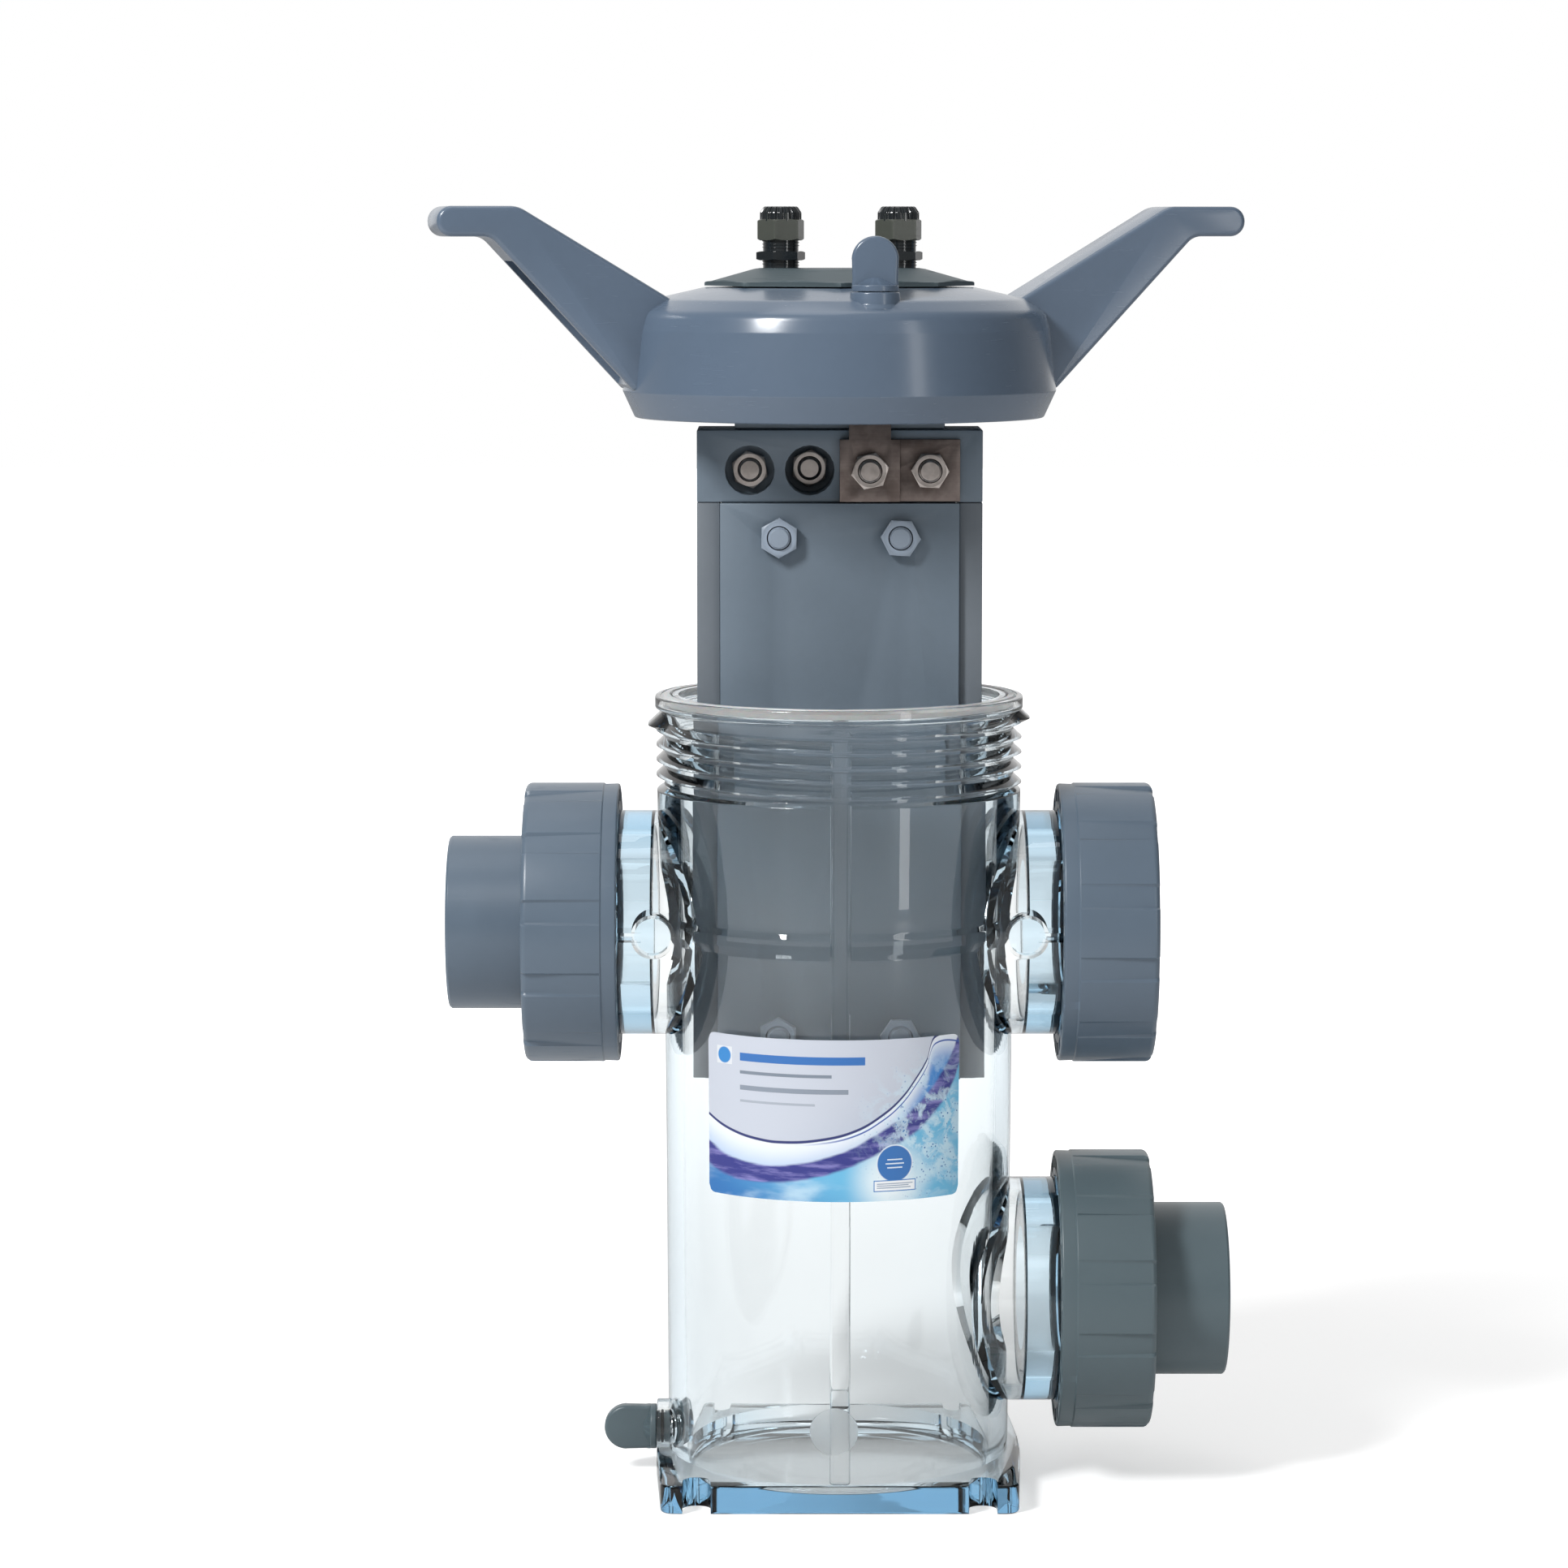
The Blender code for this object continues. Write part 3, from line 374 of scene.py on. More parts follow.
def ridge_tree():
    """A helical thread ridge, falling as it runs anticlockwise, that fades in and out at its ends."""
    tree, given, result = shape_tree(
        "thread_ridge", radius=0.077, pitch=0.0069, turns=4.0, depth=0.005, root_top=0.003,
        crest_top=0.001, crest_bottom=-0.001, root_bottom=-0.003, sink=0.0008, steps=96, fade=0.02,
    )
    spiral = {
        "Resolution": given["Steps"],
        "Rotations": given["Turns"],
        "Start Radius": given["Radius"],
        "End Radius": given["Radius"],
        "Height": product(tree, given["Pitch"], given["Turns"], -1.0),
        "Reverse": True,
    }
    path = add(tree, "GeometryNodeCurveSpiral", spiral)
    upright = add(tree, "GeometryNodeSetCurveNormal", {"Curve": path.outputs[0]}, mode="Z_UP")
    sunk = product(tree, given["Sink"], -1.0)
    section = add(tree, "GeometryNodeCurvePrimitiveQuadrilateral", mode="POINTS")
    corners = (
        (sunk, given["Root Top"]),
        (given["Depth"], given["Crest Top"]),
        (given["Depth"], given["Crest Bottom"]),
        (sunk, given["Root Bottom"]),
    )
    for i, (out, up) in enumerate(corners):
        corner = combined(tree, out, product(tree, up, -1.0))
        tree.links.new(corner, section.inputs[f"Point {i + 1}"])
    share = add(tree, "GeometryNodeSplineParameter").outputs["Factor"]
    ends = calc(tree, "MINIMUM", share, calc(tree, "SUBTRACT", 1.0, share))
    swept = {
        "Curve": upright.outputs[0],
        "Profile Curve": section.outputs[0],
        "Fill Caps": True,
        "Scale": smooth_step(tree, ends, -0.0005, given["Fade"]),
    }
    ridge = add(tree, "GeometryNodeCurveToMesh", swept)
    return close_tree(tree, result, ridge.outputs[0], given["Material"])


def relief_tree():
    """Sinks a round piece's outer face between evenly spaced proud pads, ribs or flutes."""
    tree, given, result = shape_tree(
        "spaced_relief", count=12, depth=0.001, proud_share=0.68, edge=0.02, turn=0.0, lower=0.0,
        upper=1.0, run_out=0.0006, inside_radius=0.0,
    )
    x, y, z, radius = place_about_z(tree)
    angle = calc(tree, "DIVIDE", calc(tree, "ARCTAN2", y, x), 2 * math.pi)
    step = calc(tree, "FRACT", calc(tree, "MULTIPLY_ADD", angle, given["Count"], given["Turn"]))
    away = calc(tree, "ABSOLUTE", calc(tree, "SUBTRACT", step, 0.5))
    half, edge = calc(tree, "DIVIDE", given["Proud Share"], 2.0), given["Edge"]
    sunk = smooth_step(tree, away, calc(tree, "SUBTRACT", half, edge), calc(tree, "ADD", half, edge))
    above = smooth_step(tree, z, given["Lower"], calc(tree, "ADD", given["Lower"], given["Run Out"]))
    top = calc(tree, "SUBTRACT", given["Upper"], given["Run Out"])
    below = calc(tree, "SUBTRACT", 1.0, smooth_step(tree, z, top, given["Upper"]))
    outside = calc(tree, "GREATER_THAN", radius, given["Inside Radius"])
    pull = product(tree, sunk, above, below, outside, given["Depth"], -1.0)
    inward = calc(tree, "DIVIDE", pull, calc(tree, "MAXIMUM", radius, 1e-6))
    offset = combined(tree, product(tree, x, inward), product(tree, y, inward))
    shaped = add(tree, "GeometryNodeSetPosition", {"Geometry": given["Geometry"], "Offset": offset})
    return close_tree(tree, result, shaped.outputs[0], given["Material"])


def polygon_tree():
    """Presses a turned blank in to flat sides, as a hexagon nut is cut from a chamfered round."""
    tree, given, result = shape_tree("flat_sided", sides=6, flat_radius=0.008)
    x, y, z, radius = place_about_z(tree)
    step = calc(tree, "DIVIDE", 2 * math.pi, given["Sides"])
    turn = calc(tree, "ADD", calc(tree, "ARCTAN2", y, x), 4 * math.pi)
    within = calc(tree, "SUBTRACT", calc(tree, "MODULO", turn, step), calc(tree, "DIVIDE", step, 2.0))
    edge = calc(tree, "DIVIDE", given["Flat Radius"], calc(tree, "COSINE", within))
    kept = calc(tree, "MINIMUM", radius, edge)
    scale = calc(tree, "DIVIDE", kept, calc(tree, "MAXIMUM", radius, 1e-6))
    pressed = combined(tree, product(tree, x, scale), product(tree, y, scale), z)
    shaped = add(tree, "GeometryNodeSetPosition", {"Geometry": given["Geometry"], "Position": pressed})
    return close_tree(tree, result, shaped.outputs[0], given["Material"])


def circle_tree():
    """Copies of a shape, evenly spaced round Z and turned with it."""
    tree, given, result = shape_tree("round_copies", count=12, turn=0.0)
    line = add(tree, "GeometryNodeMeshLine", {"Count": given["Count"], "Offset": (0, 0, 0)})
    index = add(tree, "GeometryNodeInputIndex").outputs[0]
    step = calc(tree, "DIVIDE", 2 * math.pi, given["Count"])
    turn = combined(tree, z=calc(tree, "MULTIPLY_ADD", index, step, given["Turn"]))
    sources = {"Points": line.outputs[0], "Instance": given["Geometry"], "Rotation": turn}
    copies = add(tree, "GeometryNodeInstanceOnPoints", sources)
    return close_tree(tree, result, copies.outputs[0], given["Material"])


# Materials


def mix(tree, factor, low, high):
    """Two colours mixed by a factor."""
    return add(tree, "ShaderNodeMix", {0: factor, 6: low, 7: high}, data_type="RGBA").outputs[2]


def rgb(red, green, blue):
    return (red, green, blue, 1.0)


def srgb(code):
    """A colour given as six hex digits, as light values."""
    parts = [int(code[i : i + 2], 16) / 255 for i in (0, 2, 4)]
    return rgb(*[p / 12.92 if p <= 0.04045 else ((p + 0.055) / 1.055) ** 2.4 for p in parts])


def noise(tree, vector, scale, detail=3.0, roughness=0.5, distortion=0.0):
    inputs = {"Vector": vector, "Scale": scale, "Detail": detail, "Roughness": roughness}
    inputs["Distortion"] = distortion
    return add(tree, "ShaderNodeTexNoise", inputs).outputs["Fac"]


def stretched(tree, vector, scale, turn=(0.0, 0.0, 0.0)):
    inputs = {"Vector": vector, "Scale": scale, "Rotation": turn}
    return add(tree, "ShaderNodeMapping", inputs).outputs[0]


def from_middle(tree, value):
    """A noise's value, which is 0 to 1, as -0.5 to 0.5."""
    return calc(tree, "SUBTRACT", value, 0.5)


def painted_edge_highlight(tree, low, high):
    """1 on sharp outer edges, by the geometry's pointiness, where a highlight is painted."""
    return smooth_step(tree, add(tree, "ShaderNodeNewGeometry").outputs["Pointiness"], low, high)


def brightened(tree, colour, level):
    scaled = add(tree, "ShaderNodeVectorMath", {"Vector": colour, "Scale": level}, operation="SCALE")
    return scaled.outputs[0]


def bumped(tree, height, strength, distance):
    """A normal from a height."""
    inputs = {"Height": height, "Strength": strength, "Distance": distance}
    return add(tree, "ShaderNodeBump", inputs).outputs[0]


SURFACE_OUTPUTS = {"Colour": "Color", "Roughness": "Float", "Height": "Float"}


def moulding_group():
    """A moulded part's surface: faint clouding, fine grain, handling marks and painted edge highlights.
    """
    inputs = {
        "Colour": rgb(0.2, 0.2, 0.2),
        "Clouding": 0.08,
        "Grain": 0.3,
        "Roughness": 0.3,
        "Marks": 0.15,
        "Wear": 0.15,
    }
    tree, given, result = new_tree("moulded_surface", "ShaderNodeTree", inputs, SURFACE_OUTPUTS)
    where = own_place(tree)
    cloud = noise(tree, where, 22.0, 4.0, 0.55)
    fine = noise(tree, where, 240.0, 3.0)
    grain = noise(tree, where, 1400.0, 2.0)
    marks = noise(tree, stretched(tree, where, (60.0, 60.0, 900.0), (0.3, 0.2, 0.4)), 1.0, 3.0)
    marks = smooth_step(tree, marks, 0.58, 0.74)
    level = calc(tree, "MULTIPLY_ADD", from_middle(tree, fine), 0.4, from_middle(tree, cloud))
    level = calc(tree, "MULTIPLY_ADD", level, product(tree, given["Clouding"], 2.0), 1.0)
    # Painted highlight: sharp outer edges are lightened, by the geometry's pointiness.
    level = calc(tree, "MULTIPLY_ADD", painted_edge_highlight(tree, 0.515, 0.60), given["Wear"], level)
    tree.links.new(brightened(tree, given["Colour"], level), result["Colour"])
    rough = calc(tree, "MULTIPLY_ADD", from_middle(tree, cloud), 0.12, given["Roughness"])
    rough = calc(tree, "MULTIPLY_ADD", marks, given["Marks"], rough, clamp=True)
    tree.links.new(rough, result["Roughness"])
    height = product(tree, grain, given["Grain"])
    height = calc(tree, "MULTIPLY_ADD", marks, product(tree, given["Marks"], -1.0), height)
    tree.links.new(height, result["Height"])
    return tree


def brushing_group():
    """Drawn and brushed metal: long fine streaks, cloudy heat tint and painted highlights on sharp
    edges.
    """
    inputs = {
        "Colour": rgb(0.5, 0.5, 0.5),
        "Tint": rgb(0.4, 0.35, 0.3),
        "Stretch": (40.0, 900.0, 900.0),
        "Roughness": 0.4,
        "Wear": 0.3,
    }
    tree, given, result = new_tree("brushed_surface", "ShaderNodeTree", inputs, SURFACE_OUTPUTS)
    where = own_place(tree)
    along = vector_calc(tree, "MULTIPLY", where, given["Stretch"])[0]
    streaks = noise(tree, along, 1.0, 4.0, 0.6)
    stain = noise(tree, where, 70.0, 4.0, 0.6)
    colour = mix(tree, smooth_step(tree, stain, 0.38, 0.66), given["Colour"], given["Tint"])
    level = calc(tree, "MULTIPLY_ADD", from_middle(tree, streaks), 0.5, 1.0)
    # Painted highlight: sharp outer edges are lightened, by the geometry's pointiness.
    level = calc(tree, "MULTIPLY_ADD", painted_edge_highlight(tree, 0.52, 0.62), given["Wear"], level)
    tree.links.new(brightened(tree, colour, level), result["Colour"])
    rough = from_middle(tree, streaks)
    rough = calc(tree, "MULTIPLY_ADD", rough, 0.25, given["Roughness"], clamp=True)
    tree.links.new(rough, result["Roughness"])
    tree.links.new(streaks, result["Height"])
    return tree


def wire(tree, shader, colour, roughness, normal):
    for label, value in (("Base Color", colour), ("Roughness", roughness), ("Normal", normal)):
        tree.links.new(value, shader.inputs[label])


MOULDED = moulding_group()
BRUSHED = brushing_group()


def new_material(name, **plain):
    """A material with a Principled shader, its plain values set on the shader's own sockets."""
    material = bpy.data.materials.new(name)
    material.use_nodes = True
    tree = material.node_tree
    shader = tree.nodes["Principled BSDF"]
    for label, value in plain.items():
        shader.inputs[label.replace("_", " ")].default_value = value
    return material, tree, shader


def surfaced(name, group, values, bump, **plain):
    """A material whose colour, roughness and relief come from a surface group."""
    material, tree, shader = new_material(name, **plain)
    node = tree.nodes.new("ShaderNodeGroup")
    node.node_tree = group
    for label, value in values.items():
        node.inputs[label].default_value = value
    relief = bumped(tree, node.outputs["Height"], bump, 0.00015)
    wire(tree, shader, node.outputs["Colour"], node.outputs["Roughness"], relief)
    return material


def plastic(name, colour, roughness, bump=0.12, clouding=0.06, marks=0.1, wear=0.25, **plain):
    values = {"Colour": colour, "Roughness": roughness, "Clouding": clouding, "Marks": marks}
    values["Wear"] = wear
    return surfaced(name, MOULDED, values, bump, **plain)


def metal(name, colour, tint, roughness, stretch, bump=0.25, **plain):
    values = {"Colour": colour, "Tint": tint, "Roughness": roughness, "Stretch": stretch}
    return surfaced(name, BRUSHED, values, bump, Metallic=1.0, **plain)


LID_GREY = plastic(
    "lid_grey_pvc", srgb("586779"), 0.24, marks=0.04, wear=0.12, Coat_Weight=0.2, Coat_Roughness=0.14
)
PLATE_GREY = plastic("plate_grey_pvc", srgb("465358"), 0.5, bump=0.16, Specular_IOR_Level=0.3)
UNION_GREY = plastic("union_grey_pvc", srgb("5b6a79"), 0.34, bump=0.16)
GREEN_GREY = plastic("green_grey_pvc", srgb("56656b"), 0.36, bump=0.16)
SHEET_PVC = plastic("sheet_pvc", srgb("616e7a"), 0.42, bump=0.2, clouding=0.1, marks=0.08, wear=0.2)
SIDE_PVC = plastic("side_pvc", srgb("5f666d"), 0.45, bump=0.2, clouding=0.1, marks=0.1)
BOLT_PVC = plastic("bolt_pvc", srgb("8793a1"), 0.35, bump=0.15)
NYLON = plastic(
    "black_nylon", srgb("1c2124"), 0.16, clouding=0.2, Coat_Weight=0.5, Coat_Roughness=0.06
)
CAP_NYLON = plastic("olive_nylon", srgb("4a4d47"), 0.3, clouding=0.15, bump=0.3)
RUBBER = plastic("black_rubber", srgb("1b1b1c"), 0.6, bump=0.3, clouding=0.2)
SILICONE = plastic(
    "ring_silicone", srgb("b9bcbd"), 0.35, clouding=0.12, Subsurface_Weight=0.3,
    Subsurface_Scale=0.002,
)
TITANIUM = metal("terminal_titanium", srgb("7a706c"), srgb("635955"), 0.46, (35.0, 900.0, 900.0))
NUT_TITANIUM = metal("nut_titanium", srgb("c4bcb7"), srgb("a39b96"), 0.36, (300.0, 300.0, 300.0))
COATED = metal("coated_titanium", srgb("3b3c3e"), srgb("2d2c2d"), 0.6, (120.0, 900.0, 120.0), bump=0.4)


def clear_plastic():
    """Polished clear acrylic with a blue cast that deepens with its thickness. A small gate mark
    low on the front is frosted."""
    material, tree, shader = new_material(
        "clear_acrylic", IOR=1.49, Metallic=0.0, Transmission_Weight=1.0, Specular_IOR_Level=0.5
    )
    shader.inputs["Base Color"].default_value = rgb(1.0, 0.985, 0.97)
    where = own_place(tree)
    x, y, z = split(tree, where)
    to_gate = combined(tree, calc(tree, "ADD", x, 0.0025), calc(tree, "SUBTRACT", z, 0.0350))
    reach = vector_calc(tree, "LENGTH", to_gate)["Value"]
    inside = calc(tree, "SUBTRACT", 1.0, smooth_step(tree, reach, 0.0099, 0.0103))
    frosted = product(tree, inside, calc(tree, "LESS_THAN", y, -0.0715))
    haze = noise(tree, where, 60.0, 3.0)
    polish = calc(tree, "MULTIPLY_ADD", smooth_step(tree, haze, 0.55, 0.8), 0.03, 0.012)
    tree.links.new(calc(tree, "MULTIPLY_ADD", frosted, 0.34, polish), shader.inputs["Roughness"])
    ripple = noise(tree, stretched(tree, where, (30.0, 30.0, 9.0)), 1.0, 2.0)
    height = calc(tree, "MULTIPLY_ADD", frosted, noise(tree, where, 900.0, 2.0), ripple)
    tree.links.new(bumped(tree, height, 0.05, 0.0006), shader.inputs["Normal"])
    tint = add(tree, "ShaderNodeVolumeAbsorption", {"Color": rgb(0.33, 0.67, 0.86), "Density": 16.0})
    tree.links.new(tint.outputs[0], tree.nodes["Material Output"].inputs["Volume"])
    return material


CLEAR = clear_plastic()


def curve(tree, value, points):
    """A value looked up on a smooth curve through the points."""
    node = add(tree, "ShaderNodeFloatCurve", {"Value": value})
    line = node.mapping.curves[0]
    while len(line.points) > 2:
        line.points.remove(line.points[1])
    line.points[0].location, line.points[-1].location = points[0], points[-1]
    for point in points[1:-1]:
        line.points.new(*point)
    node.mapping.update()
    return node.outputs[0]


# The label, in millimetres and degrees
LABEL_WIDE = 117.0
LABEL_TALL = 68.7
LABEL_FOOT = 134.0
LABEL_CLEARANCE = 0.22
LABEL_FACING = -92.8
LABEL_SWEEP = 89.0


def printed_label():
    """A plain water pattern in blues on a white film: a thin swoosh line, a pale crescent, an
    indigo wave with spray at its right end, and a round badge."""
    material, tree, shader = new_material("label_print", Coat_Weight=0.3, Coat_Roughness=0.2)
    u, v, _ = split(tree, add(tree, "ShaderNodeUVMap", uv_map="print").outputs[0])
    spot = combined(tree, product(tree, u, LABEL_WIDE / LABEL_TALL), v)

    def distance(middle):
        return vector_calc(tree, "DISTANCE", spot, middle)["Value"]

    swoosh = curve(tree, u, [
        (0, 0.49), (0.11, 0.41), (0.245, 0.365), (0.31, 0.36), (0.45, 0.38), (0.58, 0.435),
        (0.686, 0.535), (0.754, 0.63), (0.81, 0.745), (0.856, 0.86), (0.893, 1.0), (1.0, 1.0),
    ])
    band = curve(tree, u, [
        (0, 0.25), (0.11, 0.18), (0.28, 0.16), (0.38, 0.18), (0.52, 0.24), (0.65, 0.34), (0.79, 0.47),
        (0.89, 0.62), (0.96, 0.77), (1.0, 0.92),
    ])
    half = curve(tree, u, [(0, 0.075), (0.3, 0.055), (0.6, 0.06), (0.85, 0.09), (1.0, 0.11)])
    streak = noise(tree, stretched(tree, spot, (1.2, 7.0, 1.0), (0.0, 0.0, -0.5)), 3.0, 4.0, 0.6)
    wobble = calc(tree, "MULTIPLY_ADD", streak, 0.03, -0.015)
    over = calc(tree, "SUBTRACT", v, swoosh)
    from_band = calc(tree, "ADD", calc(tree, "SUBTRACT", v, band), wobble)

    # Painted shade: the white film is a light grey that darkens towards the lower right.
    across = smooth_step(tree, calc(tree, "SUBTRACT", u, v), -0.2, 0.6)
    shaded_paper = mix(tree, across, srgb("c8ceda"), srgb("b7c1d3"))
    crescent = mix(tree, smooth_step(tree, u, 0.2, 0.95), srgb("b6cdea"), srgb("3d86cf"))
    crescent = mix(tree, smooth_step(tree, over, -0.22, 0.0), crescent, srgb("eef4fb"))
    colour = mix(tree, smooth_step(tree, over, -0.002, 0.002), crescent, shaded_paper)
    pale = noise(tree, stretched(tree, spot, (1.0, 3.0, 1.0), (0.0, 0.0, -0.4)), 2.2, 4.0)
    rising = smooth_step(tree, calc(tree, "ADD", u, v), 0.05, 0.75)
    water = mix(tree, rising, srgb("1f6fb5"), srgb("6cbde4"))
    pale = product(tree, smooth_step(tree, pale, 0.45, 0.75), 0.6)
    water = mix(tree, pale, water, srgb("d9f0fa"))
    glow = smooth_step(tree, distance((1.22, 0.13, 0.0)), 0.32, 0.05)
    water = mix(tree, glow, water, srgb("f0fafd"))
    colour = mix(tree, smooth_step(tree, from_band, 0.002, -0.002), colour, water)
    away = calc(tree, "DIVIDE", calc(tree, "ABSOLUTE", from_band), half)
    indigo = mix(tree, smooth_step(tree, streak, 0.42, 0.72), srgb("2a2f86"), srgb("8a86c8"))
    colour = mix(tree, smooth_step(tree, away, 1.15, 0.75), colour, indigo)

    specks = add(tree, "ShaderNodeTexVoronoi", {"Vector": spot, "Scale": 42.0, "Randomness": 1.0})
    drops = smooth_step(tree, specks.outputs["Distance"], 0.30, 0.16)
    cloud = smooth_step(tree, noise(tree, spot, 9.0, 5.0, 0.65, 0.6), 0.44, 0.60)
    spray = product(tree, smooth_step(tree, distance((1.52, 0.42, 0.0)), 0.62, 0.10), cloud)
    colour = mix(tree, product(tree, spray, 0.85), colour, srgb("cfeaf7"))
    colour = mix(tree, product(tree, spray, drops), colour, srgb("1e6fb5"))
    line = smooth_step(tree, calc(tree, "ABSOLUTE", over), 0.011, 0.006)
    colour = mix(tree, line, colour, srgb("26306f"))
    second = calc(tree, "ABSOLUTE", calc(tree, "MULTIPLY_ADD", u, 0.05, over))
    second = product(tree, smooth_step(tree, second, 0.007, 0.003), smooth_step(tree, u, 0.35, 0.6))
    colour = mix(tree, second, colour, srgb("3d5fae"))

    def disc(place, radius, low, high):
        """Paints a disc at (u, v) with a radius in label heights."""
        middle = (place[0] * LABEL_WIDE / LABEL_TALL, place[1], 0.0)
        inside = smooth_step(tree, distance(middle), radius + 0.004, radius - 0.004)
        return mix(tree, inside, low, high)

    def panel(low_corner, high_corner, before, after):
        """Paints a rectangle between two (u, v) corners."""
        sides = []
        for value, low, high in zip((u, v), low_corner, high_corner):
            sides.append(calc(tree, "GREATER_THAN", value, low))
            sides.append(calc(tree, "LESS_THAN", value, high))
        return mix(tree, product(tree, *sides), before, after)

    badge = (0.731, 0.23)
    colour = disc(badge, 0.118, colour, srgb("e9f3fb"))
    colour = disc(badge, 0.111, colour, srgb("2a70b8"))
    for level in (0.255, 0.23, 0.205):
        reach = 0.035 - abs(level - badge[1]) * 0.25
        low, high = (badge[0] - reach, level - 0.004), (badge[0] + reach, level + 0.004)
        colour = panel(low, high, colour, srgb("dfeaf6"))
    colour = panel((0.652, 0.058), (0.812, 0.129), colour, srgb("3b7fc4"))
    colour = panel((0.6555, 0.064), (0.8085, 0.123), colour, srgb("f4f7fa"))
    for level, reach in ((0.106, 0.136), (0.094, 0.12), (0.081, 0.128)):
        low, high = (0.664, level - 0.003), (0.664 + reach, level + 0.003)
        colour = panel(low, high, colour, srgb("9aa9bd"))
    colour = panel((0.045, 0.815), (0.115, 0.925), colour, srgb("dfe3e8"))
    colour = disc((0.08, 0.87), 0.05, colour, srgb("2f86cc"))
    for low, high, ink in (
        ((0.15, 0.845), (0.62, 0.895), "2f6fb8"), ((0.15, 0.765), (0.50, 0.785), "7d8896"),
        ((0.15, 0.665), (0.56, 0.695), "8b95a3"), ((0.15, 0.59), (0.44, 0.605), "a9b1bd"),
    ):
        colour = panel(low, high, colour, srgb(ink))
    grain = noise(tree, spot, 160.0, 3.0)
    rough = calc(tree, "MULTIPLY_ADD", grain, 0.12, 0.28)
    wire(tree, shader, colour, rough, bumped(tree, grain, 0.06, 0.0001))
    return material


RIDGE = ridge_tree()
RELIEF = relief_tree()
POLYGON = polygon_tree()
ROUND = circle_tree()


def shown(obj, material, angle=32.0):
    obj.data.materials.clear()
    obj.data.materials.append(material)
    return smoothed(obj, angle)


def thread(
    name, radius, start, pitch, turns, depth, material,
    root=1.0, crest=0.35, steps=64, fade=0.03, sink=0.3, foot=None,
):
    """A helical ridge whose start is at the height given, in millimetres. Its root reaches as far
    down as up, unless a foot is given."""
    ridge = piece(name, bpy.data.meshes.new(name))
    with_tree(
        ridge, RIDGE, radius=radius * MM, pitch=pitch * MM, turns=float(turns), depth=depth * MM,
        root_top=root * MM, crest_top=crest * MM, crest_bottom=-crest * MM,
        root_bottom=-(root if foot is None else foot) * MM,
        sink=sink * MM, steps=steps, fade=fade, material=material,
    )
    face_out(ridge.data)
    return moved(ridge, at(0, 0, start))


# The vessel

PORTS = (("upper_left", -1, UPPER_PORT), ("upper_right", 1, UPPER_PORT), ("lower_right", 1, LOWER_PORT))


def base_outline():
    side = [(75.7, -75.7, 6.0), (79.0, -12.0, 14.0), (79.0, 12.0, 14.0), (75.7, 75.7, 6.0)]
    return rounded(side + [(-x, -y, corner) for x, y, corner in side])


def clear_stub(name, sign, height):
    """A port's outer tube, with the wide pocket behind its thick threaded ring."""
    place = along_port(sign, height)
    tube = rounded([(0, 118), (47.6, 118, 1.0), (47.6, 97.6), (48.4, 96.8), (48.4, 40), (0, 40)])
    stub = moved(turned(name + "_tube", tube, 160), place)
    pocket = rounded([(0, 80.5), (42.6, 80.5, 1.5), (42.6, 30), (0, 30)])
    combine(stub, [moved(turned(name + "_pocket", pocket, 128), place)], "DIFFERENCE")
    ring = thread(name + "_thread", 47.4, 117.0, 5.0, 3.2, 1.0, CLEAR, root=1.6, crest=0.6, steps=96)
    combine(stub, [moved(ring, place)], "UNION")
    facing = place @ about("Z", 90)
    if name.startswith("upper"):
        crossways = at(0, 0, 79.2) @ about("Y", -90)
        slot = block(name + "_slot", (-50, -2, 84), (-30, 2, 98))
        bite = moved(drum(name + "_bite", 9.25, 30, 46.2, 64), crossways)
        combine(stub, [moved(slot, facing), moved(bite, facing)], "DIFFERENCE")
        boss = moved(drum(name + "_boss", 7.75, 26, 47.2, 64), crossways)
        combine(stub, [moved(boss, facing)], "UNION")
    return stub


